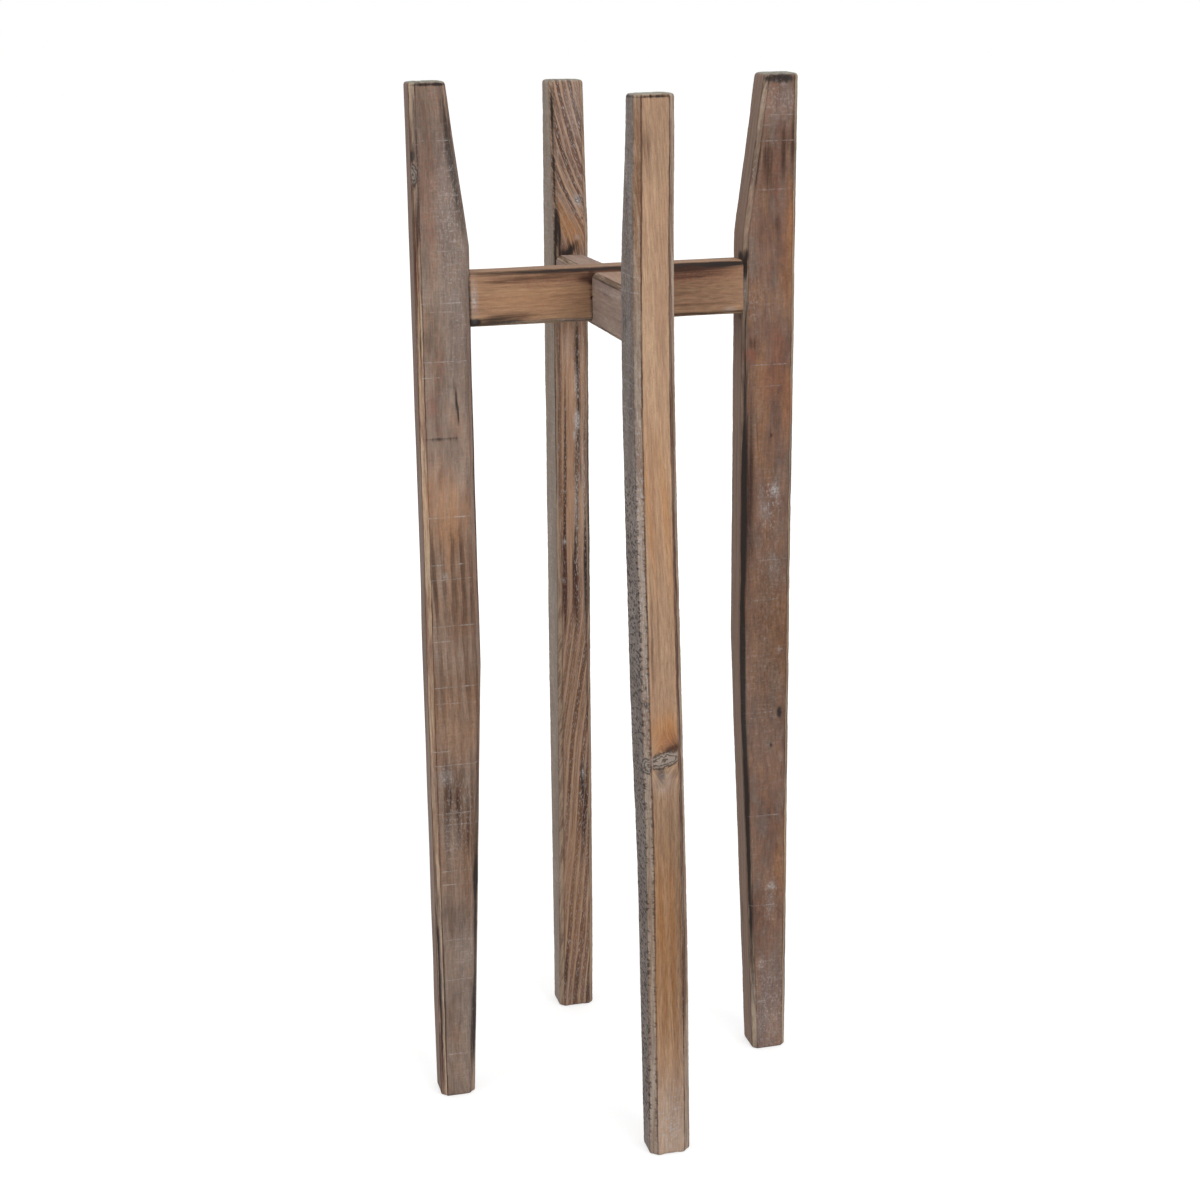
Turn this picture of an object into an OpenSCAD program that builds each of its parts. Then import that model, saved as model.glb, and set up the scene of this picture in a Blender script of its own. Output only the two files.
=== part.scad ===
// Tall plant stand: four tapered legs held in two pairs by rails that cross in a half lap.
// The left and right legs share the through rail, the front and back legs share the cross rail.
// The through rail drops over the cross rail, so one pair lifts off the other for packing flat.
// Millimetres, +Z up. The origin is on the floor, midway between the four feet.
// X runs from the left leg to the right leg, and Y from the front leg to the back leg.

/* [Legs] */
// Height of the left and right legs
leg_h = 762; // [640:1:860]
// How far the tops of the front and back legs stand below the other two
front_drop = 6; // [0:0.5:12]
// Width of a leg at the rails, from its inner face to its outer face
leg_w = 39.5; // [36:0.5:52]
// Width of a leg at its top
leg_top_w = 25.5; // [18:0.5:34]
// Width of a leg at its foot
leg_foot_w = 25.5; // [18:0.5:34]
// Thickness of a leg
leg_t = 27.5; // [25:0.5:38]
// Length of the taper from the top down to the upper knee
top_taper = 112; // [60:1:160]
// Length of the full-width stretch between the two knees
knee_gap = 305; // [120:1:360]
// Bevel on the long edges of a leg
leg_bevel = 3; // [1:0.25:5]
// Bevel round the top of a leg
top_bevel = 1.5; // [0.5:0.25:3]

/* [Lean of each leg] */
// Sideways lean in degrees: above zero, the foot swings anticlockwise seen from above
lean_left = -0.25; // [-1.5:0.05:1.5]
// Sideways lean of the right leg
lean_right = 1.1; // [-1.5:0.05:1.5]
// Sideways lean of the front leg
lean_front = 0.6; // [-1.5:0.05:1.5]
// Sideways lean of the back leg
lean_back = 0.4; // [-1.5:0.05:1.5]

/* [Rails] */
// Length of a rail, which is the clear width between two facing legs
rail_len = 200; // [150:1:320]
// Height of a rail
rail_h = 38.5; // [34:0.5:60]
// Thickness of a rail
rail_t = 24; // [18:0.5:25]
// Bevel on the long edges of a rail
rail_bevel = 2.75; // [1:0.25:5]
// Depth of the through rail's top below the upper knees of its legs
rail_below_knee = 18; // [4:1:50]
// How far the cross rail lies below the through rail
rail_step = 4; // [0:0.5:8]
// Clearance on each side of a rail in the other rail's notch
lap_clearance = 0.3; // [0.1:0.05:0.6]

/* [Dowels] */
// Diameter of a dowel
dowel_d = 8; // [6:0.5:10]
// Length of a dowel, half of it in the rail and half in the leg
dowel_len = 40; // [24:1:44]
// Height from the lower dowel of a joint to the upper one
dowel_pitch = 20; // [14:0.5:22]
// Clearance all round a dowel in its hole
dowel_clearance = 0.05; // [0.02:0.01:0.1]
// Space between each end of a dowel and the bottom of its hole
dowel_end_space = 1; // [0.5:0.25:3]

/* [Hidden] */
$fn = 48;

// The two levels of a joint's dowels, and the two sides of the lap
UPPER = 1;
LOWER = -1;

// Heights that the pieces share
front_leg_h = leg_h - front_drop;
through_top = leg_h - top_taper - rail_below_knee;
cross_top = through_top - rail_step;
through_mid = through_top - rail_h / 2;
cross_mid = cross_top - rail_h / 2;
// The two notches meet halfway up the height that the rails have in common
lap_z = (cross_top + through_top - rail_h) / 2;

// Wood left below the floor line until the leg leans and its foot is cut level
foot_allowance = 2;
// Overrun of a cutting body past the faces that it cuts
cut_over = 1;

LEG_COLOUR = "#8b6f5b";
RAIL_COLOUR = "#a57d5d";
DOWEL_COLOUR = "#d3b58c";

// Distance of a leg's inner face from its straight stretch, at the height z
function inner_face(h, z) =
    let (lower_knee = h - top_taper - knee_gap)
    lookup(z, [
        [-foot_allowance, (leg_w - leg_foot_w) * (1 + foot_allowance / lower_knee)],
        [lower_knee, 0],
        [h - top_taper, 0],
        [h, leg_w - leg_top_w]
    ]);

// Side view of a leg up to the given top, set in from its inner and outer faces, as a slab
module leg_slab(h, thickness, inset, top) {
    heights = [-foot_allowance, h - top_taper - knee_gap, h - top_taper, top];
    outer = leg_w - inset;
    rotate([90, 0, 0])
        linear_extrude(thickness, center = true)
            polygon(concat(
                [for (z = heights) [inner_face(h, z) + inset, z]],
                [[outer, top], [outer, -foot_allowance]]
            ));
}

// Upright leg with its inner face on x = 0, before it leans: slabs that leave its bevels
module leg_blank(h) {
    shoulder = h - top_bevel;
    middle_t = leg_t - 2 * leg_bevel;
    hull() {
        leg_slab(h, leg_t, leg_bevel, shoulder);
        leg_slab(h, middle_t, 0, shoulder);
        leg_slab(h, middle_t, top_bevel, h);
        leg_slab(h, leg_t - 2 * top_bevel, leg_bevel, h);
    }
}

// Round bar across the joint face at x = rail_len / 2: a dowel, or the hole for it
module joint_bar(mid, level, diameter, length) {
    translate([rail_len / 2, 0, mid + level * dowel_pitch / 2])
        rotate([0, 90, 0])
            cylinder(d = diameter, h = length, center = true);
}

// Both holes of a joint whose rail has its middle at the given height
module dowel_holes(mid) {
    for (level = [LOWER, UPPER])
        joint_bar(mid, level, dowel_d + 2 * dowel_clearance, dowel_len + 2 * dowel_end_space);
}

// Carries a piece from the rail's +X end, where end is 1, to its -X end, where end is -1
module at_end(end) {
    rotate([0, 0, 90 * (1 - end)])
        children();
}

// Carries a piece of the left and right pair to its place in the front and back pair
module crosswise() {
    rotate([0, 0, 90])
        children();
}

// Leg at one end of a rail along X, leaning about the middle of the rail, with its foot level
module leg(end, h, lean, mid) {
    color(LEG_COLOUR)
        at_end(end)
            difference() {
                translate([rail_len / 2, 0, mid])
                    rotate([lean, 0, 0])
                        translate([0, 0, -mid])
                            leg_blank(h);
                translate([rail_len / 2 - cut_over, -leg_t, -leg_t])
                    cube([leg_w + 2 * cut_over, 2 * leg_t, leg_t]);
                dowel_holes(mid);
            }
}

// Bevelled bar of the rails' section, lying along X at the given height
module rail_bar(mid) {
    side = rail_t / 2;
    edge = rail_h / 2;
    translate([0, 0, mid])
        rotate([90, 0, 90])
            linear_extrude(rail_len, center = true)
                polygon([
                    [side, edge - rail_bevel],
                    [side - rail_bevel, edge],
                    [rail_bevel - side, edge],
                    [-side, edge - rail_bevel],
                    [-side, rail_bevel - edge],
                    [rail_bevel - side, -edge],
                    [side - rail_bevel, -edge],
                    [side, rail_bevel - edge]
                ]);
}

// Rail along X with a notch for the other rail, cut below the lap when notch_side is LOWER
module rail(mid, notch_side) {
    notch_w = rail_t + 2 * lap_clearance;
    difference() {
        rail_bar(mid);
        translate([0, 0, lap_z + notch_side * rail_h / 2])
            cube([notch_w, rail_t + 2 * cut_over, rail_h], center = true);
        for (end = [-1, 1])
            at_end(end)
                dowel_holes(mid);
    }
}

// Dowel at one end of the through rail
module through_dowel(end, level) {
    color(DOWEL_COLOUR)
        at_end(end)
            joint_bar(through_mid, level, dowel_d, dowel_len);
}

// Dowel at one end of the cross rail
module cross_dowel(end, level) {
    color(DOWEL_COLOUR)
        crosswise()
            at_end(end)
                joint_bar(cross_mid, level, dowel_d, dowel_len);
}

module leg_left() {
    leg(-1, leg_h, lean_left, through_mid);
}

module leg_right() {
    leg(1, leg_h, lean_right, through_mid);
}

module leg_front() {
    crosswise()
        leg(-1, front_leg_h, lean_front, cross_mid);
}

module leg_back() {
    crosswise()
        leg(1, front_leg_h, lean_back, cross_mid);
}

module through_rail() {
    color(RAIL_COLOUR)
        rail(through_mid, LOWER);
}

module cross_rail() {
    color(RAIL_COLOUR)
        crosswise()
            rail(cross_mid, UPPER);
}

leg_left();
leg_right();
leg_front();
leg_back();
through_rail();
cross_rail();
through_dowel(-1, UPPER);  // dowel_left_upper
through_dowel(-1, LOWER);  // dowel_left_lower
through_dowel(1, UPPER);  // dowel_right_upper
through_dowel(1, LOWER);  // dowel_right_lower
cross_dowel(-1, UPPER);  // dowel_front_upper
cross_dowel(-1, LOWER);  // dowel_front_lower
cross_dowel(1, UPPER);  // dowel_back_upper
cross_dowel(1, LOWER);  // dowel_back_lower
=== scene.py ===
"""The looks of a tall plant stand: four torched and washed softwood legs on two crossing rails.

Metres, +Z up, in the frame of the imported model. Every stick of wood is first made standing in
a frame of its own, in millimetres: X runs through its width, from its inner face to its outer
face, Y through its thickness, and Z along its grain, from its foot. Marks, knots and saw scores
are placed in that frame, and the finished stick is then turned into its place.
"""

import logging
from dataclasses import astuple, dataclass, field
from enum import Enum
from math import radians

import bmesh
import bpy
import numpy as np
from mathutils import Matrix, Vector


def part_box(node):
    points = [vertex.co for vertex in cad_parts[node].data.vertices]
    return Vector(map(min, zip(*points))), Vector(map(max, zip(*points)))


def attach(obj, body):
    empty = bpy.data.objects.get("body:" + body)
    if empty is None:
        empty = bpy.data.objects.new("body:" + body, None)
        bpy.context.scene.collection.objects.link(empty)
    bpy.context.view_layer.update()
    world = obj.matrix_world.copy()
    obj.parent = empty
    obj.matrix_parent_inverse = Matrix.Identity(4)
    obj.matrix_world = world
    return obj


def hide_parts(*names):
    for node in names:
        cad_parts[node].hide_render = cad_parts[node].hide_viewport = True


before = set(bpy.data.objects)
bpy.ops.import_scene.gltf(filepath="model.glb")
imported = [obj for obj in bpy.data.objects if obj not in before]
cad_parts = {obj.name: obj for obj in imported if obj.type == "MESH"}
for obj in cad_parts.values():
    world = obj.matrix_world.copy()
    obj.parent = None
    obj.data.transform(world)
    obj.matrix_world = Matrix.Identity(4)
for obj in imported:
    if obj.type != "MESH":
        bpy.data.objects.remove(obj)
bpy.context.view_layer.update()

LOG = logging.getLogger("plant_stand")
MM = 0.001
TINY = 1e-4
# Farther than any score or knot reaches
FAR = 9.0


# ---------------------------------------------------------------- what lies on a stick


class Side(Enum):
    """The four long sides of a stick."""

    INNER = "inner"
    OUTER = "outer"
    PLUS = "plus"
    MINUS = "minus"

    @property
    def narrow(self) -> bool:
        """Whether the side lies across the stick's thickness."""
        return self in (Side.INNER, Side.OUTER)


class Stain(Enum):
    """What a mark leaves on the wood, as the channel of the coat that holds it. One CHAR and one BROWN
    mark on the through rail are painted shade where parts meet.
    """

    CHAR = 0
    WASH = 1
    WARM = 2
    SHADE = 3
    RINGS = 4
    RUST = 5
    EDGE = 6
    BROWN = 7
    FLECKS = 8


@dataclass(frozen=True)
class Mark:
    """A soft patch of stain on one side of a stick, with its middle and half its size.

    A tilt above 0 leans its upper end towards the side's + direction. A strength below 0 takes away.
    """

    stain: Stain
    side: Side
    along: float
    across: float
    length: float
    breadth: float
    strength: float = 1.0
    tilt: float = 0.0


@dataclass(frozen=True)
class Score:
    """A thin saw score across one side of a stick, from start to end across it."""

    side: Side
    along: float
    start: float
    end: float
    tilt: float = 0.0
    strength: float = 1.0


@dataclass(frozen=True)
class Knot:
    """A knot on one side of a stick, with its middle and half its size."""

    side: Side
    along: float
    across: float
    length: float
    breadth: float
    height: float = 0.3
    tilt: float = 0.0


@dataclass(frozen=True)
class Pitting:
    """A stretch of one side that is full of small pits."""

    side: Side
    start: float
    end: float
    strength: float = 1.0


@dataclass(frozen=True)
class Station:
    """How far a stick has moved and swollen from the straight at one place along it."""

    along: float
    outward: float = 0.0
    sideways: float = 0.0
    wider: float = 0.0
    thicker: float = 0.0


@dataclass(frozen=True)
class Grain:
    """Where in the log a stick was cut, and how its rings run."""

    pith: tuple[float, float]
    drift: tuple[tuple[float, float, float], ...] = ((0.0, 0.0, 0.0),)
    wander: float = 0.8


# ---------------------------------------------------------------- fields over a stick


class Ripple:
    """Smooth random waves through a stick, the same on each run."""

    WAVES = 28

    def __init__(self, seed: int, wavelengths: tuple[float, float, float]) -> None:
        """Draws the waves.

        Args:
            seed: What the waves are drawn from.
            wavelengths: The usual wavelength along X, Y and Z.
        """
        draw = np.random.default_rng(seed)
        self.numbers = draw.normal(size=(self.WAVES, 3)) * 2 * np.pi / np.array(wavelengths)
        self.phases = draw.uniform(0, 2 * np.pi, self.WAVES)

    def at(self, points: np.ndarray) -> np.ndarray:
        """Adds up the waves.

        Args:
            points: Places in the stick, one row each.

        Returns:
            One value for each place, about 0 with a spread of 1.
        """
        heights = np.cos(points @ self.numbers.T + self.phases)
        return heights.sum(axis=1) * (2 / self.WAVES) ** 0.5


def ease(low: float, high: float, values: np.ndarray) -> np.ndarray:
    """Rises smoothly from 0 at low to 1 at high.

    Args:
        low: Where the rise starts.
        high: Where the rise ends.
        values: What is set against the two.

    Returns:
        Values from 0 to 1.
    """
    share = np.clip((values - low) / (high - low), 0, 1)
    return share * share * (3 - 2 * share)


def turned(across: np.ndarray, along: np.ndarray, tilt: float) -> tuple[np.ndarray, np.ndarray]:
    """Turns offsets on a side's surface.

    Args:
        across: Offsets across the grain.
        along: Offsets along the grain.
        tilt: Degrees by which the patch leans towards + across.

    Returns:
        The offsets across and along the leaning patch.
    """
    turn = radians(tilt)
    return (across * np.cos(turn) - along * np.sin(turn),
            along * np.cos(turn) + across * np.sin(turn))


def softened(along: np.ndarray, places: tuple[float, ...], values: tuple[float, ...],
             steps: tuple[float, ...]) -> np.ndarray:
    """Reads values between fixed places, with the corners rounded off.

    Args:
        along: Where the values are wanted.
        places: The fixed places.
        values: The value at each of them.
        steps: How far off each place the readings that are averaged lie.

    Returns:
        The value at each place.
    """
    return np.mean([np.interp(along + step, places, values) for step in steps], axis=0)


# ---------------------------------------------------------------- nodes


def srgb(code: str) -> tuple[float, float, float, float]:
    """Turns a colour as it is seen into the linear colour that a shader takes.

    Args:
        code: Six hexadecimal digits after a hash sign.

    Returns:
        Red, green, blue and full alpha.
    """
    seen = [int(code[i:i + 2], 16) / 255 for i in (1, 3, 5)]
    linear = [c / 12.92 if c <= 0.04045 else ((c + 0.055) / 1.055) ** 2.4 for c in seen]
    return (*linear, 1.0)


Feed = bpy.types.NodeSocket | float | tuple


class Sheet:
    """Places and links the nodes of one tree."""

    def __init__(self, tree: bpy.types.NodeTree) -> None:
        """Takes the tree that the nodes go into."""
        self.tree = tree

    def place(self, kind: str, **settings: object) -> bpy.types.Node:
        """Adds a node.

        Args:
            kind: The node's type.
            settings: Values of the node's own properties.

        Returns:
            The new node.
        """
        node = self.tree.nodes.new(kind)
        for name, value in settings.items():
            setattr(node, name, value)
        return node

    def feed(self, socket: bpy.types.NodeSocket, value: Feed) -> None:
        """Links a socket to an input, or sets the input to a plain value.

        Args:
            socket: The input.
            value: An output of another node, or a plain value.
        """
        if isinstance(value, bpy.types.NodeSocket):
            self.tree.links.new(value, socket)
        else:
            socket.default_value = value

    def math(self, operation: str, *values: Feed, clamp: bool = False) -> bpy.types.NodeSocket:
        """Works out one number.

        Args:
            operation: The Math node's operation.
            values: What it works on.
            clamp: Whether the result is kept from 0 to 1.

        Returns:
            The result.
        """
        node = self.place("ShaderNodeMath", operation=operation, use_clamp=clamp)
        for socket, value in zip(node.inputs, values):
            self.feed(socket, value)
        return node.outputs[0]

    def times(self, *values: Feed, clamp: bool = False) -> bpy.types.NodeSocket:
        """Multiplies numbers.

        Args:
            values: The numbers.
            clamp: Whether the product is kept from 0 to 1.

        Returns:
            The product.
        """
        product = values[0]
        for value in values[1:]:
            product = self.math("MULTIPLY", product, value, clamp=clamp)
        return product

    def swing(self, value: Feed, strength: Feed, base: Feed = 0.0) -> bpy.types.NodeSocket:
        """Adds a noise's swing about its middle to a base.

        Args:
            value: The noise.
            strength: What its swing is multiplied by.
            base: What it is added to.

        Returns:
            The sum.
        """
        return self.math("MULTIPLY_ADD", self.math("SUBTRACT", value, 0.5), strength, base)

    def span(self, value: Feed, low: float, high: float, start: Feed = 0.0,
             end: Feed = 1.0) -> bpy.types.NodeSocket:
        """Rises or falls smoothly from start, where value is low, to end, where it is high.

        Args:
            value: What is set against low and high.
            low: Where the change starts.
            high: Where the change ends.
            start: The result up to low.
            end: The result from high on.

        Returns:
            The result.
        """
        node = self.place("ShaderNodeMapRange", interpolation_type="SMOOTHSTEP")
        for socket, entry in zip(node.inputs, (value, low, high, start, end)):
            self.feed(socket, entry)
        return node.outputs[0]

    def blend(self, share: Feed, first: Feed, second: Feed, kind: str = "MIX") -> bpy.types.NodeSocket:
        """Blends two colours.

        Args:
            share: How much of the second there is.
            first: The colour underneath.
            second: The colour on top.
            kind: The Mix node's blend type.

        Returns:
            The blended colour.
        """
        node = self.place("ShaderNodeMix", data_type="RGBA", blend_type=kind)
        self.feed(node.inputs[0], share)
        self.feed(node.inputs[6], first)
        self.feed(node.inputs[7], second)
        return node.outputs[2]

    def stretch(self, vector: Feed, scale: tuple[float, float, float]) -> bpy.types.NodeSocket:
        """Scales a vector along each axis.

        Args:
            vector: The vector.
            scale: What each of its parts is multiplied by.

        Returns:
            The scaled vector.
        """
        node = self.place("ShaderNodeVectorMath", operation="MULTIPLY")
        self.feed(node.inputs[0], vector)
        self.feed(node.inputs[1], scale)
        return node.outputs[0]

    def noise(self, vector: Feed, scale: tuple[float, float, float], detail: float = 2.0,
              roughness: float = 0.5, seed: float = 0.0) -> bpy.types.NodeSocket:
        """Places a noise texture, with its scale in waves per millimetre along each axis.

        Args:
            vector: Where it is read.
            scale: Its scale along each axis.
            detail: How many finer layers it has.
            roughness: How strong those layers are.
            seed: Which slice of the noise it is.

        Returns:
            A value from 0 to 1 about 0.5.
        """
        node = self.place("ShaderNodeTexNoise", noise_dimensions="4D")
        self.feed(node.inputs["Vector"], self.stretch(vector, scale))
        self.feed(node.inputs["W"], seed)
        self.feed(node.inputs["Scale"], 1.0)
        self.feed(node.inputs["Detail"], detail)
        self.feed(node.inputs["Roughness"], roughness)
        return node.outputs[0]

    def split(self, vector: Feed) -> list[bpy.types.NodeSocket]:
        """Takes a vector apart.

        Args:
            vector: The vector.

        Returns:
            Its three parts.
        """
        node = self.place("ShaderNodeSeparateXYZ")
        self.feed(node.inputs[0], vector)
        return list(node.outputs)

    def read(self, name: str) -> bpy.types.NodeSocket:
        """Reads one of the mesh's own attributes.

        Args:
            name: The attribute's name.

        Returns:
            The attribute as a vector.
        """
        node = self.place("ShaderNodeAttribute", attribute_type="GEOMETRY", attribute_name=name)
        return node.outputs["Vector"]

    def use(self, group: bpy.types.NodeTree, **values: Feed) -> dict[str, bpy.types.NodeSocket]:
        """Places a group.

        Args:
            group: The group's tree.
            values: What its inputs take, by name.

        Returns:
            Its outputs by name.
        """
        node = self.place("ShaderNodeGroup", node_tree=group)
        for name, value in values.items():
            self.feed(node.inputs[name], value)
        return {socket.name: socket for socket in node.outputs}


class GroupSheet(Sheet):
    """A sheet for a shared group, with the group's named inputs and outputs."""

    def __init__(self, name: str, vectors: tuple[str, ...], numbers: tuple[str, ...]) -> None:
        """Starts the group.

        Args:
            name: The group's name.
            vectors: Names of the inputs that take a vector.
            numbers: Names of the inputs that take a number.
        """
        super().__init__(bpy.data.node_groups.new(name, "ShaderNodeTree"))
        for title in vectors:
            self.tree.interface.new_socket(title, in_out="INPUT", socket_type="NodeSocketVector")
        for title in numbers:
            self.tree.interface.new_socket(title, in_out="INPUT", socket_type="NodeSocketFloat")
        self.inputs = {socket.name: socket for socket in self.place("NodeGroupInput").outputs}

    def finish(self, **results: bpy.types.NodeSocket) -> bpy.types.NodeTree:
        """Ends the group.

        Args:
            results: What each output gives, by name.

        Returns:
            The group's tree.
        """
        for title in results:
            self.tree.interface.new_socket(title, in_out="OUTPUT", socket_type="NodeSocketFloat")
        exits = self.place("NodeGroupOutput")
        for title, result in results.items():
            self.tree.links.new(result, exits.inputs[title])
        return self.tree


class WoodGroups:
    """The effects that every wood finish shares, each built once."""

    def __init__(self) -> None:
        """Builds the groups."""
        self.rings = self.growth_rings()
        self.fibres = self.wood_fibres()
        self.saw = self.saw_texture()
        self.section = self.stick_section()
        self.knots = self.knot_figure()

    def growth_rings(self) -> bpy.types.NodeTree:
        """Builds the growth rings: how dark the late wood is, and each ring's own tone.

        Returns:
            The group.
        """
        sheet = GroupSheet("Growth rings", ("Grain",), ("Spacing", "Ragged", "Start", "Full"))
        grain = sheet.inputs["Grain"]
        count = sheet.math("DIVIDE", sheet.split(grain)[0], sheet.inputs["Spacing"])
        drift = sheet.noise(grain, (0.16, 0.16, 0.012), 3.0, 0.6)
        count = sheet.swing(drift, sheet.inputs["Ragged"], count)
        part = sheet.math("FRACT", count)
        rise = sheet.span(part, sheet.inputs["Start"], sheet.inputs["Full"])
        late = sheet.times(rise, sheet.span(part, 0.88, 1.0, 1.0, 0.0))
        tone = sheet.place("ShaderNodeTexWhiteNoise", noise_dimensions="1D")
        sheet.feed(tone.inputs["W"], sheet.math("FLOOR", count))
        return sheet.finish(Late=late, Tone=tone.outputs["Value"])

    def wood_fibres(self) -> bpy.types.NodeTree:
        """Builds soft blotches, broad and narrow streaks, hair-fine fibres and the flecks between them.

        Returns:
            The group.
        """
        sheet = GroupSheet("Wood fibres", ("Grain",), ())
        grain = sheet.inputs["Grain"]
        streak = sheet.noise(grain, (0.22, 0.22, 0.008), 4.0, 0.6)
        thread = sheet.noise(grain, (0.55, 0.55, 0.028), 3.0, 0.65, 2.0)
        hair = sheet.noise(grain, (0.85, 0.85, 0.1), 2.0, 0.6, 3.0)
        fleck = sheet.noise(grain, (0.85, 0.85, 0.34), 1.0, 0.6, 4.0)
        mottle = sheet.noise(grain, (0.1, 0.1, 0.011), 2.0, 0.55, 6.0)
        fleck = sheet.span(fleck, 0.53, 0.66)
        return sheet.finish(Streak=streak, Thread=thread, Hair=hair, Fleck=fleck, Mottle=mottle)

    def saw_texture(self) -> bpy.types.NodeTree:
        """Builds the cross lines that a saw leaves, and the specks and pits between them.

        Returns:
            The group.
        """
        sheet = GroupSheet("Saw texture", ("Blank",), ("Tilt",))
        blank = sheet.inputs["Blank"]
        across, through, along = sheet.split(blank)
        level = sheet.math("MULTIPLY_ADD", across, sheet.inputs["Tilt"], along)
        join = sheet.place("ShaderNodeCombineXYZ")
        for socket, value in zip(join.inputs, (across, through, level)):
            sheet.feed(socket, value)
        lines = sheet.noise(join.outputs[0], (0.085, 0.085, 0.52), 3.0, 0.75, 1.0)
        speck = sheet.noise(join.outputs[0], (0.62, 0.62, 0.62), 2.0, 0.65, 5.0)
        pores = sheet.noise(blank, (0.27, 0.27, 0.5), 1.0, 0.55, 9.0)
        gaps = sheet.noise(blank, (0.14, 0.14, 0.14), 2.0, 0.6, 10.0)
        return sheet.finish(Lines=lines, Speck=speck, Pits=sheet.span(pores, 0.51, 0.63), Gaps=gaps)

    def stick_section(self) -> bpy.types.NodeTree:
        """Builds the masks of a stick's wide sides, its bevels and the thin lines beside them.

        Returns:
            The group.
        """
        sheet = GroupSheet("Stick section", ("Blank",), ("Offset", "Bevel"))
        blank = sheet.inputs["Blank"]
        shake = sheet.noise(blank, (0.2, 0.2, 0.07), 3.0, 0.65, 7.0)
        offset = sheet.swing(shake, 1.8, sheet.inputs["Offset"])
        bevel = sheet.inputs["Bevel"]
        past = sheet.math("SUBTRACT", offset, bevel)
        short = sheet.math("ADD", offset, bevel)
        worn = sheet.times(sheet.span(short, -0.3, 0.4), sheet.span(past, -0.4, 0.3, 1.0, 0.0))
        fade = sheet.noise(blank, (0.06, 0.06, 0.035), 3.0, 0.6, 8.0)
        fade = sheet.span(fade, 0.34, 0.6, 0.45, 1.0)
        inner = sheet.span(sheet.math("ABSOLUTE", past), 0.15, 0.85, 1.0, 0.0)
        outer = sheet.span(sheet.math("ABSOLUTE", short), 0.25, 1.1, 1.0, 0.0)
        return sheet.finish(Wide=sheet.span(past, -0.2, 0.5), Worn=worn,
                            WideLine=sheet.times(inner, fade), NarrowLine=sheet.times(outer, fade))

    def knot_figure(self) -> bpy.types.NodeTree:
        """Builds a knot: its body, its dark outline and the pale rings inside it.

        Returns:
            The group.
        """
        sheet = GroupSheet("Knot figure", ("Blank",), ("Distance",))
        shake = sheet.noise(sheet.inputs["Blank"], (0.3, 0.3, 0.3), 4.0, 0.65, 12.0)
        distance = sheet.swing(shake, 1.3, sheet.inputs["Distance"])
        body = sheet.span(distance, 0.8, 1.2, 1.0, 0.0)
        from_rim = sheet.math("ABSOLUTE", sheet.math("SUBTRACT", distance, 1.0))
        outline = sheet.span(from_rim, 0.03, 0.24, 1.0, 0.0)
        wave = sheet.math("SINE", sheet.times(distance, 13.0))
        rings = sheet.times(sheet.span(wave, -0.2, 0.9), body)
        return sheet.finish(Body=body, Outline=outline, Rings=rings)


@dataclass(frozen=True)
class WoodFinish:
    """The colours of one stick's torched, brushed and washed wood, and how strong its figure is."""

    name: str
    slot: str
    early: str
    late: str
    sawn: str
    sawn_shade: str
    worn: str
    worn_shade: str
    # char and brown also colour the painted shade at the through rail's joints
    char: str = "#2b221e"
    wash: str = "#b4adab"
    warm: str = "#b07a48"
    rust: str = "#84503f"
    brown: str = "#4a2f24"
    blush: str = "#8f6f60"
    cool: str = "#7b7067"
    glow: str = "#93704f"
    end: str = "#8f8c80"
    knot: str = "#9a8f86"
    spacing: float = 6.0
    ragged: float = 1.0
    late_start: float = 0.3
    late_full: float = 0.82
    ring: float = 0.6
    sawn_ring: float = 0.1
    streak: float = 1.6
    dust: float = 0.5
    wide_line: float = 0.6
    narrow_line: float = 0.8
    saw_tilt: float = 0.02
    sawn_sides: float = 1.0
    fleck: float = 0.2
    blotch: float = 0.3
    cloud: float = 0.0


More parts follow.
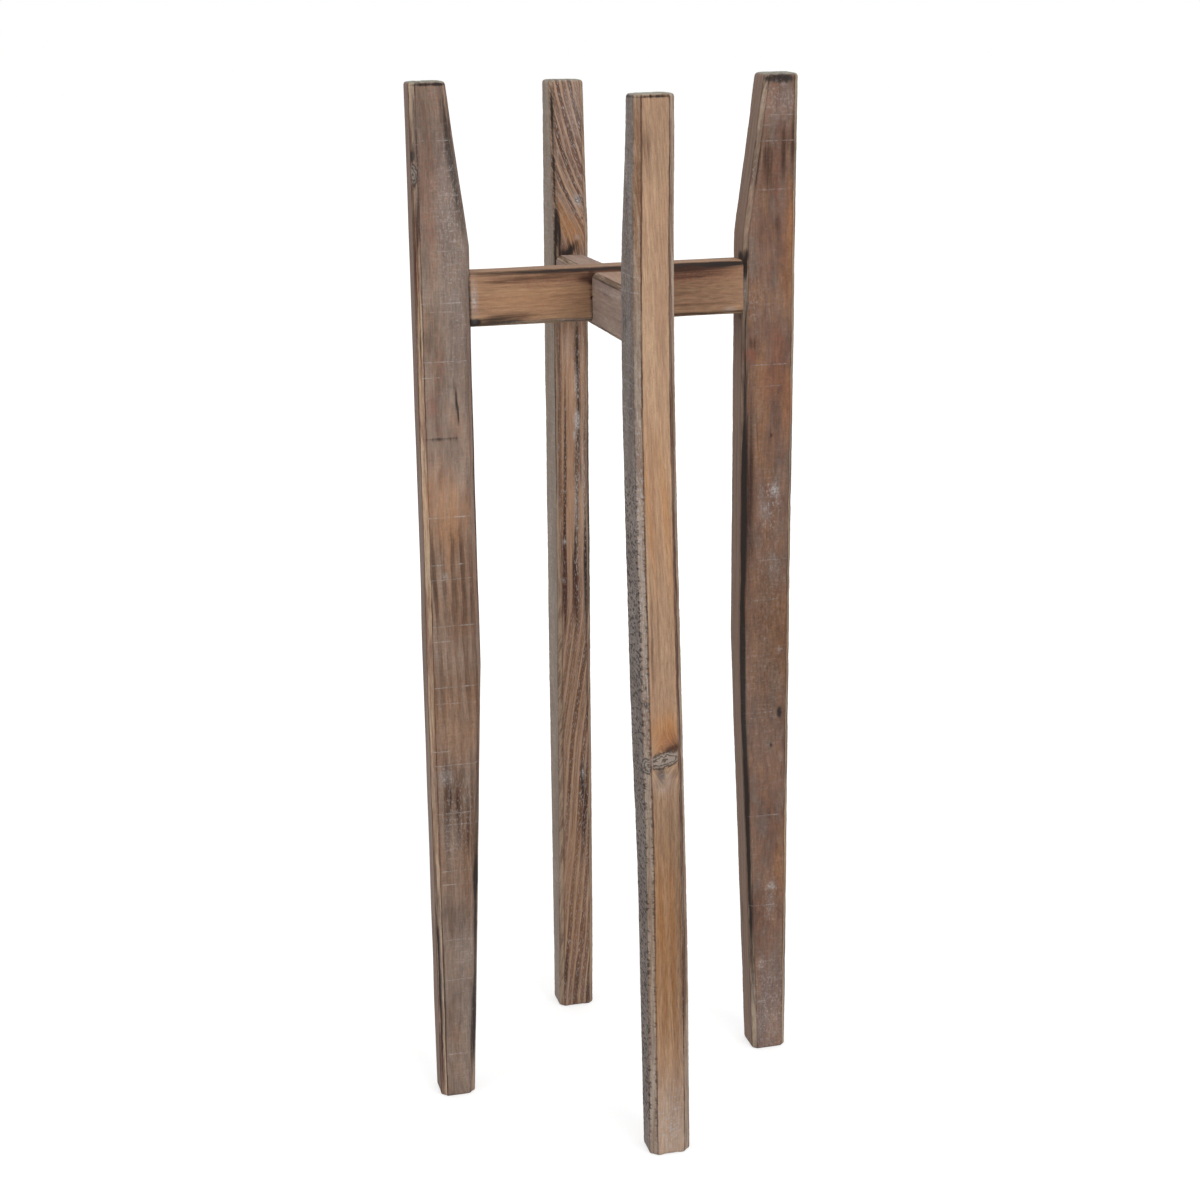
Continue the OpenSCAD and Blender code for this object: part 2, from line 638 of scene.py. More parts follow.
class WoodMaterial:
    """One stick's material."""

    PIT_SHARE = 0.8
    SCORE_SHARE = 0.62
    KNOT_SHARE = 0.85
    OUTLINE_SHARE = 0.7
    ROUGHNESS = (0.68, 0.86)
    SPECULAR = 0.22
    BUMP_STRENGTH = 0.6
    BUMP_METRES = 0.0005

    def __init__(self, finish: WoodFinish, groups: WoodGroups, bevel: float) -> None:
        """Reads the stick's fields and places the shared effects.

        Args:
            finish: The colours and strengths.
            groups: The shared wood effects.
            bevel: The size of the stick's bevels.
        """
        self.finish = finish
        self.material = bpy.data.materials.new(finish.name)
        self.material.use_nodes = True
        self.material.node_tree.nodes.clear()
        sheet = Sheet(self.material.node_tree)
        self.sheet = sheet
        self.blank = sheet.read("blank")
        grain = sheet.read("grain")
        offset, self.pitted, self.end = sheet.split(sheet.read("section"))
        self.char, self.wash, self.warm = sheet.split(sheet.read("paint"))
        self.shade, self.ringed, self.rust = sheet.split(sheet.read("glaze"))
        self.gap, self.cut, distance = sheet.split(sheet.read("cuts"))
        edge, self.brown, self.flecked = sheet.split(sheet.read("trace"))
        self.edge = sheet.math("ADD", edge, 1.0, clamp=True)
        rings = sheet.use(groups.rings, Grain=grain, Spacing=finish.spacing, Ragged=finish.ragged,
                          Start=finish.late_start, Full=finish.late_full)
        self.ring = sheet.times(rings["Late"], sheet.span(rings["Tone"], 0.0, 1.0, 0.45, 1.0))
        self.fibres = sheet.use(groups.fibres, Grain=grain)
        self.saw = sheet.use(groups.saw, Blank=self.blank, Tilt=finish.saw_tilt)
        self.section = sheet.use(groups.section, Blank=self.blank, Offset=offset, Bevel=bevel)
        self.knot = sheet.use(groups.knots, Blank=self.blank, Distance=distance)
        self.rough = sheet.times(self.section["Wide"], finish.sawn_sides)
        near = sheet.span(sheet.math("ABSOLUTE", self.gap), 0.15, 0.7, 1.0, 0.0)
        broken = sheet.times(sheet.span(self.fibres["Thread"], 0.42, 0.56, 0.4, 1.0),
                            sheet.span(self.saw["Gaps"], 0.4, 0.6, 0.15, 1.0))
        self.score = sheet.times(near, self.cut, broken)
        self.woven = sheet.times(sheet.span(self.saw["Lines"], 0.44, 0.62),
                                sheet.span(self.saw["Speck"], 0.4, 0.6))
        self.pit = sheet.times(self.saw["Pits"], self.pitted)

    def planed(self) -> bpy.types.NodeSocket:
        """Colours the planed sides: rings and streaks along the grain.

        Returns:
            The colour.
        """
        sheet, finish = self.sheet, self.finish
        share = sheet.times(self.ring, sheet.math("ADD", self.ringed, finish.ring, clamp=True))
        share = sheet.swing(self.fibres["Streak"], finish.streak, share)
        broken = sheet.math("MAXIMUM", sheet.math("ADD", self.ringed, 1.0), 0.8)
        share = sheet.swing(self.fibres["Thread"], broken, share)
        share = sheet.math("ADD", share, 0.12, clamp=True)
        colour = sheet.blend(share, srgb(finish.early), srgb(finish.late))
        blotch = sheet.times(sheet.span(self.fibres["Mottle"], 0.42, 0.64), finish.blotch)
        colour = sheet.blend(blotch, colour, srgb(finish.blush))
        fleck = sheet.times(self.fibres["Fleck"], share, finish.fleck)
        return sheet.blend(fleck, colour, srgb(finish.wash))

    def sawn(self) -> bpy.types.NodeSocket:
        """Colours the sawn sides: broad patches, faint rings, clouds and dust in the saw's cross lines.

        Returns:
            The colour.
        """
        sheet, finish = self.sheet, self.finish
        share = sheet.times(self.ring, finish.sawn_ring)
        patch = sheet.noise(self.blank, (0.06, 0.06, 0.022), 3.0, 0.6, 11.0)
        share = sheet.math("ADD", share, sheet.span(patch, 0.34, 0.66, 0.0, 0.6))
        share = sheet.swing(self.fibres["Streak"], 1.2, share)
        share = sheet.swing(self.fibres["Thread"], 1.3, share)
        share = sheet.swing(self.saw["Lines"], 1.1, share)
        share = sheet.swing(self.saw["Speck"], 1.0, share)
        share = sheet.math("ADD", share, 0.1, clamp=True)
        colour = sheet.blend(share, srgb(finish.sawn), srgb(finish.sawn_shade))
        cloud = sheet.noise(self.blank, (0.1, 0.1, 0.03), 4.0, 0.65, 14.0)
        for tone, full in ((finish.cool, 0.64), (finish.glow, 0.36)):
            share = sheet.times(sheet.span(cloud, 0.5, full), finish.cloud)
            colour = sheet.blend(share, colour, srgb(tone))
        dust = sheet.times(self.woven, sheet.span(patch, 0.35, 0.6, 1.0, 0.4), finish.dust)
        return sheet.blend(dust, colour, srgb(finish.wash))

    def edged(self, colour: bpy.types.NodeSocket) -> bpy.types.NodeSocket:
        """Wears the bevels paler and draws the burnt lines beside them.

        Args:
            colour: The colour of the sides.

        Returns:
            The colour with its edges.
        """
        sheet, finish = self.sheet, self.finish
        share = sheet.span(sheet.swing(self.fibres["Streak"], 1.2, self.fibres["Thread"]), 0.36, 0.66)
        worn = sheet.blend(share, srgb(finish.worn), srgb(finish.worn_shade))
        colour = sheet.blend(sheet.times(self.section["Worn"], self.edge), colour, worn)
        for line, strength in (("WideLine", finish.wide_line), ("NarrowLine", finish.narrow_line)):
            drawn = sheet.times(self.section[line], self.edge, strength)
            colour = sheet.blend(drawn, colour, srgb(finish.brown))
        rings = sheet.blend(sheet.times(self.ring, 0.6), srgb(finish.end), srgb(finish.late))
        return sheet.blend(self.end, colour, rings)

    def stained(self, colour: bpy.types.NodeSocket) -> bpy.types.NodeSocket:
        """Lays the warm and reddish patches, the dark rings, the burns, the flecks and the wash. The
        brown and char layers also carry the painted shade at the through rail's joints.

        Args:
            colour: The bare wood.

        Returns:
            The stained wood.
        """
        sheet, finish = self.sheet, self.finish
        loose = sheet.span(self.fibres["Streak"], 0.35, 0.62, 0.55, 1.0)
        colour = sheet.blend(sheet.times(self.warm, loose, clamp=True), colour, srgb(finish.warm))
        blotch = sheet.span(self.saw["Speck"], 0.35, 0.6, 0.4, 1.0)
        colour = sheet.blend(sheet.times(self.rust, blotch, clamp=True), colour, srgb(finish.rust))
        dark = sheet.swing(self.fibres["Thread"], 1.6, self.ring)
        dark = sheet.times(dark, self.ringed, clamp=True)
        colour = sheet.blend(sheet.times(dark, self.rough), colour, srgb(finish.late))
        colour = sheet.blend(self.bitten(self.brown), colour, srgb(finish.brown))
        colour = sheet.blend(self.bitten(self.char), colour, srgb(finish.char))
        flecks = sheet.times(self.fibres["Fleck"], self.flecked, clamp=True)
        colour = sheet.blend(flecks, colour, srgb(finish.wash))
        thick = sheet.times(sheet.span(self.wash, 0.45, 1.0), sheet.span(self.saw["Speck"], 0.44, 0.6))
        thin = sheet.times(sheet.times(self.wash, 1.2, clamp=True), self.woven)
        veil = sheet.span(self.fibres["Thread"], 0.3, 0.7, 0.2, 0.5)
        haze = sheet.times(self.wash, veil, clamp=True)
        share = sheet.math("MAXIMUM", sheet.math("MAXIMUM", thick, sheet.times(thin, 0.8)), haze)
        return sheet.blend(share, colour, srgb(finish.wash))

    def bitten(self, stain: bpy.types.NodeSocket) -> bpy.types.NodeSocket:
        """Lets a dark stain follow the streaks of the wood.

        Args:
            stain: How much of the stain there is.

        Returns:
            How much of it shows.
        """
        sheet = self.sheet
        bite = sheet.swing(self.fibres["Streak"], 0.7, stain)
        bite = sheet.swing(self.fibres["Thread"], 0.9, bite)
        return sheet.times(sheet.span(bite, 0.08, 0.9), sheet.span(stain, 0.02, 0.2))

    def marked(self, colour: bpy.types.NodeSocket) -> bpy.types.NodeSocket:
        """Draws the pits, the saw scores and the knots.

        Args:
            colour: The stained wood.

        Returns:
            The marked wood.
        """
        sheet, finish = self.sheet, self.finish
        char = srgb(finish.char)
        colour = sheet.blend(sheet.times(self.pit, self.PIT_SHARE), colour, char)
        colour = sheet.blend(sheet.times(self.score, self.SCORE_SHARE), colour, srgb(finish.wash))
        body = sheet.blend(sheet.times(self.knot["Rings"], self.KNOT_SHARE), srgb(finish.knot), char)
        colour = sheet.blend(sheet.times(self.knot["Body"], self.KNOT_SHARE), colour, body)
        return sheet.blend(sheet.times(self.knot["Outline"], self.OUTLINE_SHARE), colour, char)

    def height(self) -> bpy.types.NodeSocket:
        """Adds up the fine relief of the surface.

        Returns:
            The height that the bump takes.
        """
        sheet = self.sheet
        height = sheet.times(self.fibres["Hair"], 0.35)
        layers = (
            (self.fibres["Thread"], 0.6),
            (self.ring, 0.3),
            (sheet.times(self.saw["Lines"], self.rough), 1.2),
            (self.score, -0.8),
            (self.pit, -1.2),
            (self.knot["Outline"], -0.8),
        )
        for layer, depth in layers:
            height = sheet.math("MULTIPLY_ADD", layer, depth, height)
        return height

    def build(self) -> bpy.types.Material:
        """Puts the surface together.

        Returns:
            The material.
        """
        sheet = self.sheet
        colour = sheet.blend(self.rough, self.planed(), self.sawn())
        tint = sheet.span(self.saw["Speck"], 0.5, 0.7, 0.0, 0.35)
        colour = sheet.blend(tint, colour, srgb(self.finish.rust))
        colour = self.marked(self.stained(self.edged(colour)))
        fine = sheet.swing(self.fibres["Hair"], 0.95, sheet.swing(self.saw["Speck"], 0.4, 1.0))
        light = sheet.math("MULTIPLY_ADD", self.shade, -0.5, fine)
        weave = sheet.swing(self.saw["Lines"], 0.35, sheet.swing(self.saw["Speck"], 0.45))
        light = sheet.math("MULTIPLY_ADD", weave, self.rough, light)
        lit = sheet.place("ShaderNodeVectorMath", operation="SCALE")
        sheet.feed(lit.inputs[0], colour)
        sheet.feed(lit.inputs["Scale"], light)
        bump = sheet.place("ShaderNodeBump")
        sheet.feed(bump.inputs["Strength"], self.BUMP_STRENGTH)
        sheet.feed(bump.inputs["Distance"], self.BUMP_METRES)
        sheet.feed(bump.inputs["Height"], self.height())
        shader = sheet.place("ShaderNodeBsdfPrincipled")
        sheet.feed(shader.inputs["Base Color"], lit.outputs[0])
        rough = sheet.span(self.fibres["Hair"], 0.2, 0.8, *self.ROUGHNESS)
        sheet.feed(shader.inputs["Roughness"], rough)
        sheet.feed(shader.inputs["Specular IOR Level"], self.SPECULAR)
        sheet.feed(shader.inputs["Normal"], bump.outputs[0])
        target = sheet.place("ShaderNodeOutputMaterial")
        sheet.tree.links.new(shader.outputs[0], target.inputs["Surface"])
        return self.material


# ---------------------------------------------------------------- sticks


@dataclass(frozen=True)
class Looks:
    """All that makes one stick look unlike the others."""

    finish: WoodFinish
    seed: int
    grain: Grain
    bevel: float
    marks: tuple[Mark, ...] = ()
    scores: tuple[Score, ...] = ()
    knots: tuple[Knot, ...] = ()
    pitting: tuple[Pitting, ...] = ()
    stations: tuple[Station, ...] = (Station(0.0),)


@dataclass(frozen=True)
class Relief:
    """How deep each kind of relief on a stick is."""

    swell: float = 0.08
    saw: float = 0.035
    ring: float = 0.04
    wear: float = 0.16
    wear_swing: float = 0.14
    chip_swing: float = 0.07
    deepest_wear: float = 0.8
    dent: float = 0.12
    pit: float = 0.06


RELIEF = Relief()
# The width of a bevel's face over the bevel's size
DIAGONAL = 1.414
# Degrees between two faces from which their edge looks sharp
SHARP_ANGLE = 55


@dataclass
class Stick:
    """A stick of wood: its blank, its relief and what lies on it."""

    SMOOTHINGS = 2

    name: str
    body: str
    looks: Looks
    length: float
    width: float
    thickness: float
    knees: tuple[float, ...] = ()
    foot_width: float = 0.0
    top_width: float = 0.0
    foot_round: float = 0.3
    end_round: float = 0.3
    end_steps: int = 1
    pitch: float = 1.3

    @property
    def bevel(self) -> float:
        """The size of the bevels on the long edges."""
        return self.looks.bevel

    def inner_face(self, along: np.ndarray | float) -> np.ndarray | float:
        """Gives how far the inner face is set back.

        Args:
            along: Places along the stick.

        Returns:
            The setback at each place.
        """
        if not self.knees:
            return along * 0
        places = (0.0, *self.knees, self.length)
        foot, top = self.width - self.foot_width, self.width - self.top_width
        return np.interp(along, places, (foot, *(0.0 for _ in self.knees), top))

    def blank(self) -> bmesh.types.BMesh:
        """Makes the bevelled stick as a closed net of small faces.

        Returns:
            The mesh.
        """
        bm = bmesh.new()
        bmesh.ops.create_cube(bm, size=1.0)
        bmesh.ops.scale(bm, vec=(self.width, self.thickness, self.length), verts=bm.verts)
        bmesh.ops.translate(bm, vec=(self.width / 2, 0, self.length / 2), verts=bm.verts)
        for knee in self.knees:
            self.slice(bm, (0, 0, knee), (0, 0, 1))
        for vert in bm.verts:
            if vert.co.x < TINY:
                vert.co.x = float(self.inner_face(vert.co.z))
        long_edges = [edge for edge in bm.edges if self.runs_along(edge) and edge.calc_face_angle() > 1]
        self.bevel_edges(bm, long_edges, self.bevel, 1)
        rims = ((0.0, self.foot_round, 1), (self.length, self.end_round, self.end_steps))
        for end, size, steps in rims:
            rim = [edge for edge in bm.edges if self.is_level(edge, 2, end)]
            self.bevel_edges(bm, rim, size, steps)
        self.refine(bm)
        return bm

    def bevel_edges(self, bm: bmesh.types.BMesh, edges: list[bmesh.types.BMEdge], size: float,
                    steps: int) -> None:
        """Bevels some edges.

        Args:
            bm: The mesh.
            edges: The edges.
            size: How far from each edge the bevel starts.
            steps: How many faces the bevel has.
        """
        bmesh.ops.bevel(bm, geom=edges, offset=size, offset_type="OFFSET", segments=steps, profile=0.5,
                        affect="EDGES", material=-1)

    def slice(self, bm: bmesh.types.BMesh, place: tuple[float, float, float],
              facing: tuple[float, float, float]) -> None:
        """Cuts new edges where a plane passes.

        Args:
            bm: The mesh.
            place: A point on the plane.
            facing: The plane's normal.
        """
        geometry = [*bm.verts, *bm.edges, *bm.faces]
        bmesh.ops.bisect_plane(bm, geom=geometry, dist=TINY, plane_co=place, plane_no=facing)

    def runs_along(self, edge: bmesh.types.BMEdge) -> bool:
        """Tells whether an edge runs along the grain."""
        start, end = (vert.co for vert in edge.verts)
        return abs(end.z - start.z) > 0.9 * (end - start).length

    def is_level(self, edge: bmesh.types.BMEdge, axis: int, level: float) -> bool:
        """Tells whether an edge lies in a plane across one axis, at the given level."""
        return all(abs(vert.co[axis] - level) < TINY for vert in edge.verts)

    def refine(self, bm: bmesh.types.BMesh) -> None:
        """Divides the long sides into rows and columns about as wide as the pitch.

        Args:
            bm: The mesh.
        """
        levels = (0.0, *self.knees, self.length)
        for low, high in zip(levels, levels[1:]):
            middle = (low + high) / 2
            rungs = [edge for edge in bm.edges if self.spans(edge, middle)]
            bmesh.ops.subdivide_edges(bm, edges=rungs, cuts=round((high - low) / self.pitch) - 1)
        columns = (
            ((1, 0, 0), self.width - 2 * self.bevel),
            ((0, 1, 0), self.thickness - 2 * self.bevel),
            ((1, 1, 0), self.bevel * DIAGONAL),
            ((1, -1, 0), self.bevel * DIAGONAL),
        )
        for direction, size in columns:
            course = Vector(direction).normalized()
            across = [edge for edge in bm.edges if self.lies_on(edge, course)]
            bmesh.ops.subdivide_edges(bm, edges=across, cuts=round(size / self.pitch))

    def spans(self, edge: bmesh.types.BMEdge, middle: float) -> bool:
        """Tells whether a long edge runs along the grain past a place.

        Args:
            edge: The edge.
            middle: The place along the stick.

        Returns:
            Whether it does.
        """
        low, high = sorted(vert.co.z for vert in edge.verts)
        return self.runs_along(edge) and edge.calc_length() > 4 * self.pitch and low < middle < high

    def lies_on(self, edge: bmesh.types.BMEdge, direction: Vector) -> bool:
        """Tells whether an edge on a long side runs level in the given direction.

        Args:
            edge: The edge.
            direction: The direction, as a unit vector.

        Returns:
            Whether it does.
        """
        start, end = (vert.co for vert in edge.verts)
        run = end - start
        return abs(run.z) < 0.05 * run.length and abs(run.dot(direction)) > 0.95 * run.length

    def offsets(self, points: np.ndarray) -> np.ndarray:
        """Measures each point from the nearest bevel's middle line, along the surface.

        Args:
            points: Places on the blank.

        Returns:
            Distances above 0 on the wide sides and below 0 on the narrow ones.
        """
        inner = points[:, 0] - self.inner_face(points[:, 2])
        outer = self.width - points[:, 0]
        return np.minimum(inner, outer) - (self.thickness / 2 - np.abs(points[:, 1]))

    def share_of(self, side: Side, points: np.ndarray) -> np.ndarray:
        """Tells how much each point belongs to one side.

        Args:
            side: The side.
            points: Places on the blank.

        Returns:
            1 on the side and 0 off it. The bevels go with the wide sides.
        """
        wide = ease(-self.bevel - 0.6, 0.6 - self.bevel, self.offsets(points))
        if side.narrow:
            middle = (self.inner_face(points[:, 2]) + self.width) / 2
            half = points[:, 0] > middle if side is Side.OUTER else points[:, 0] <= middle
            return (1 - wide) * half
        half = points[:, 1] > 0 if side is Side.PLUS else points[:, 1] <= 0
        return wide * half

    def across(self, side: Side, points: np.ndarray) -> np.ndarray:
        """Gives each point's place across a side."""
        return points[:, 1] if side.narrow else points[:, 0]

    def patch(self, spot: Mark | Knot, points: np.ndarray) -> np.ndarray:
        """Measures each point from the middle of a mark or a knot, with 1 at its rim.

        Args:
            spot: The mark or knot.
            points: Places on the blank.

        Returns:
            The distances.
        """
        across = self.across(spot.side, points) - spot.across
        across, along = turned(across, points[:, 2] - spot.along, spot.tilt)
        return np.hypot(across / spot.breadth, along / spot.length)

    def coat(self, points: np.ndarray) -> np.ndarray:
        """Lays the marks on the stick.

        Args:
            points: Places on the blank.

        Returns:
            How much of each stain there is at each point.
        """
        stains = np.zeros((len(points), len(Stain)))
        for mark in self.looks.marks:
            strength = np.exp(-self.patch(mark, points) ** 3) * mark.strength
            stains[:, mark.stain.value] += strength * self.share_of(mark.side, points)
        return stains

    def cuts(self, points: np.ndarray) -> np.ndarray:
        """Finds the nearest saw score and how much of a knot lies at each point.

        Args:
            points: Places on the blank.

        Returns:
            The signed distance to the score, its strength and the distance to a knot.
        """
        nearest = np.full(len(points), FAR)
        strength = np.zeros(len(points))
        for score in self.looks.scores:
            across = self.across(score.side, points)
            middle = (score.start + score.end) / 2
            gap = points[:, 2] - score.along - score.tilt * (across - middle)
            reach = ease(score.start - 1, score.start + 1, across)
            reach = reach * ease(-score.end - 1, 1 - score.end, -across)
            here = np.exp(-(gap / 3) ** 2) * reach * score.strength * self.share_of(score.side, points)
            closer = here > strength
            nearest[closer], strength[closer] = gap[closer], here[closer]
        return np.stack([nearest, np.minimum(strength * 1.5, 1), self.knot_distance(points)], axis=1)

    def knot_distance(self, points: np.ndarray) -> np.ndarray:
        """Measures each point from the middle of the nearest knot, with 1 at its rim.

        Args:
            points: Places on the blank.

        Returns:
            The distances.
        """
        nearest = np.full(len(points), FAR)
        for knot in self.looks.knots:
            off_side = FAR * (1 - self.share_of(knot.side, points))
            nearest = np.minimum(nearest, self.patch(knot, points) + off_side)
        return nearest

    def ripple(self, number: int, wavelengths: tuple[float, float, float],
               points: np.ndarray) -> np.ndarray:
        """Gives one of the stick's own ripples at each point."""
        return Ripple(self.looks.seed + number, wavelengths).at(points)

    def log_place(self, points: np.ndarray) -> np.ndarray:
        """Finds each point's place in the log: its ring, its place round the ring and its height.

        Args:
            points: Places on the blank.

        Returns:
            Radius, arc and height.
        """
        grain = self.looks.grain
        heights, *shifts = zip(*grain.drift)
        places = []
        for axis, shift in enumerate(shifts):
            sway = self.ripple(axis + 1, (90, 90, 260), points) * grain.wander
            bend = softened(points[:, 2], heights, shift, (-12, 0, 12))
            places.append(points[:, axis] - grain.pith[axis] - bend + sway)
        for knot in self.looks.knots:
            axis = 1 if knot.side.narrow else 0
            across = self.across(knot.side, points) - knot.across
            along = points[:, 2] - knot.along
            push = np.tanh(across) * knot.breadth * np.exp(-np.abs(across) / (2 * knot.breadth))
            push = push * self.share_of(knot.side, points)
            places[axis] = places[axis] - push * np.exp(-(along / (2.2 * knot.length)) ** 2)
        radius = np.hypot(*places)
        return np.stack([radius, np.arctan2(places[1], places[0]) * radius, points[:, 2]], axis=1)

    def pits(self, points: np.ndarray) -> np.ndarray:
        """Finds how pitted the stick is.

        Args:
            points: Places on the blank.

        Returns:
            1 in a pitted stretch, 0 outside.
        """
        share = np.zeros(len(points))
        away = ease(0, self.bevel, np.abs(self.offsets(points)))
        for patch in self.looks.pitting:
            stretch = ease(patch.start - 15, patch.start + 15, points[:, 2])
            stretch = stretch * ease(-patch.end - 15, 15 - patch.end, -points[:, 2])
            share += stretch * self.share_of(patch.side, points) * away * patch.strength
        return share

    def relief(self, points: np.ndarray, pits: np.ndarray, place: np.ndarray) -> np.ndarray:
        """Works out how far each point stands proud of the blank.

        Args:
            points: Places on the blank.
            pits: How much of a pit is at each point.
            place: Each point's place in the log.

        Returns:
            Heights, below 0 for wood that is gone.
        """
        offsets = self.offsets(points)
        bevel = ease(-self.bevel - 1, -self.bevel + 1, -np.abs(offsets))
        rough = ease(0, self.bevel, offsets) * self.looks.finish.sawn_sides
        rings = np.cos(2 * np.pi * place[:, 0] / self.looks.finish.spacing)
        height = RELIEF.swell * self.ripple(11, (60, 60, 140), points)
        height += RELIEF.saw * rough * self.ripple(12, (150, 150, 5), points)
        height += RELIEF.ring * (1 - rough) * rings
        wear = RELIEF.wear + RELIEF.wear_swing * self.ripple(13, (40, 40, 34), points)
        wear += RELIEF.chip_swing * self.ripple(14, (20, 20, 6), points)
        height -= bevel * np.clip(wear, 0, RELIEF.deepest_wear)
        dents = ease(0.9, 2.0, self.ripple(15, (14, 14, 20), points))
        hollows = ease(0, 1.5, self.ripple(16, (10, 10, 14), points))
        height -= RELIEF.dent * dents * rough + RELIEF.pit * pits * hollows
        for knot in self.looks.knots:
            distance = self.patch(knot, points)
            height += knot.height * np.exp(-distance ** 4) * self.share_of(knot.side, points)
        return height

    def warp(self, points: np.ndarray, blank: np.ndarray) -> np.ndarray:
        """Moves the stick off the straight, as its stations say.

        Args:
            points: Places on the worked stick.
            blank: The same places on the blank.

        Returns:
            The moved places.
        """
        places, *changes = zip(*(astuple(station) for station in self.looks.stations))
        outward, sideways, wider, thicker = (
            softened(blank[:, 2], places, change, (-20, -7, 7, 20)) for change in changes)
        moved = points.copy()
        moved[:, 0] += outward - wider * (self.width - blank[:, 0]) / self.width
        moved[:, 1] += sideways + thicker * blank[:, 1] / self.thickness
        return moved

    def ends(self, bm: bmesh.types.BMesh, blank: np.ndarray) -> np.ndarray:
        """Finds the stick's sawn ends.

        Args:
            bm: The blank's mesh.
            blank: Places on the blank.

        Returns:
            1 on an end, 0 off it.
        """
        faces = [face for face in bm.faces if abs(face.normal.z) > 0.9]
        ends = np.zeros(len(blank))
        ends[[vert.index for face in faces for vert in face.verts]] = 1.0
        return np.maximum(ends, ease(self.length - self.end_round / 2, self.length, blank[:, 2]))

    def fields(self, bm: bmesh.types.BMesh, blank: np.ndarray) -> dict[str, np.ndarray]:
        """Works out all that the finish reads from the mesh.

        Args:
            bm: The blank's mesh.
            blank: Places on the blank.

        Returns:
            Three values for each place, by the name of their attribute.
        """
        coat = self.coat(blank)
        return {
            "blank": blank,
            "grain": self.log_place(blank),
            "section": np.stack([self.offsets(blank), self.pits(blank), self.ends(bm, blank)], axis=1),
            "paint": coat[:, :3],
            "glaze": coat[:, 3:6],
            "trace": coat[:, 6:],
            "cuts": self.cuts(blank),
        }

    def worked(self, bm: bmesh.types.BMesh, blank: np.ndarray,
               fields: dict[str, np.ndarray]) -> np.ndarray:
        """Rounds the blank's edges, cuts its relief, warps it and puts it in its place.

        Args:
            bm: The blank's mesh, which is smoothed.
            blank: Places on the blank.
            fields: What is known about each place.

        Returns:
            The places, in metres.
        """
        for _ in range(self.SMOOTHINGS):
            bmesh.ops.smooth_vert(bm, verts=bm.verts, factor=0.5, use_axis_x=True, use_axis_y=True,
                                  use_axis_z=True)
        bm.normal_update()
        points = np.array([vert.co for vert in bm.verts])
        normals = np.array([vert.normal for vert in bm.verts])
        relief = self.relief(blank, fields["section"][:, 1], fields["grain"])
        moved = self.seat(self.warp(points + normals * relief[:, None], blank), blank)
        carry = np.array(self.placing())
        return moved @ carry[:3, :3].T + carry[:3, 3]

    def make(self, groups: WoodGroups) -> bpy.types.Object:
        """Makes the stick and its finish.

        Args:
            groups: The shared wood effects.

        Returns:
            The finished piece.
        """
        bm = self.blank()
        self.cut_joint(bm)
        bmesh.ops.recalc_face_normals(bm, faces=bm.faces)
        blank = np.array([vert.co for vert in bm.verts])
        fields = self.fields(bm, blank)
        worked = self.worked(bm, blank, fields)
        mesh = bpy.data.meshes.new(self.name)
        for face in bm.faces:
            face.smooth = True
        bm.to_mesh(mesh)
        bm.free()
        mesh.vertices.foreach_set("co", worked.ravel())
        for name, values in fields.items():
            attribute = mesh.attributes.new(name, "FLOAT_VECTOR", "POINT")
            attribute.data.foreach_set("vector", np.ascontiguousarray(values, np.float32).ravel())
        mesh.set_sharp_from_angle(angle=radians(SHARP_ANGLE))
        mesh.update()
        piece = bpy.data.objects.new(f"{self.name}_wood", mesh)
        bpy.context.scene.collection.objects.link(piece)
        mesh.materials.append(WoodMaterial(self.looks.finish, groups, self.bevel).build())
        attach(piece, self.body)
        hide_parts(self.name)
        LOG.info("%s: %d faces", piece.name, len(mesh.polygons))
        return piece

    def cut_joint(self, bm: bmesh.types.BMesh) -> None:
        """Leaves the blank uncut."""

    def seat(self, points: np.ndarray, blank: np.ndarray) -> np.ndarray:
        """Leaves the stick's foot as it is."""
        return points

    def placing(self) -> Matrix:
        """Gives the matrix that carries the stick, in millimetres, to its place in metres."""
        return Matrix.Scale(MM, 4)


@dataclass
class Leg(Stick):
    """A tapered leg, leaning about the middle of the rail that it is joined to."""

    turn: float = 0.0
    lean: float = 0.0
    pivot: float = 0.0
    reach: float = 100.0

    def seat(self, points: np.ndarray, blank: np.ndarray) -> np.ndarray:
        """Cuts the foot so that it stands level once the leg leans.

        Args:
            points: Places on the worked leg.
            blank: The same places on the blank.

        Returns:
            The places with a level foot.
        """
        level = points.copy()
        low = ease(-30, 0, -blank[:, 2])
        level[:, 2] -= low * blank[:, 1] * np.tan(radians(self.lean))
        return level

    def placing(self) -> Matrix:
        """Leans, turns and places the leg.

        Returns:
            The matrix that carries it.
        """
        lean = Matrix.Rotation(radians(self.lean), 4, "X")
        lean = Matrix.Translation((self.reach, 0, self.pivot)) @ lean
        upright = lean @ Matrix.Translation((0, 0, -self.pivot))
        return Matrix.Scale(MM, 4) @ Matrix.Rotation(radians(self.turn), 4, "Z") @ upright


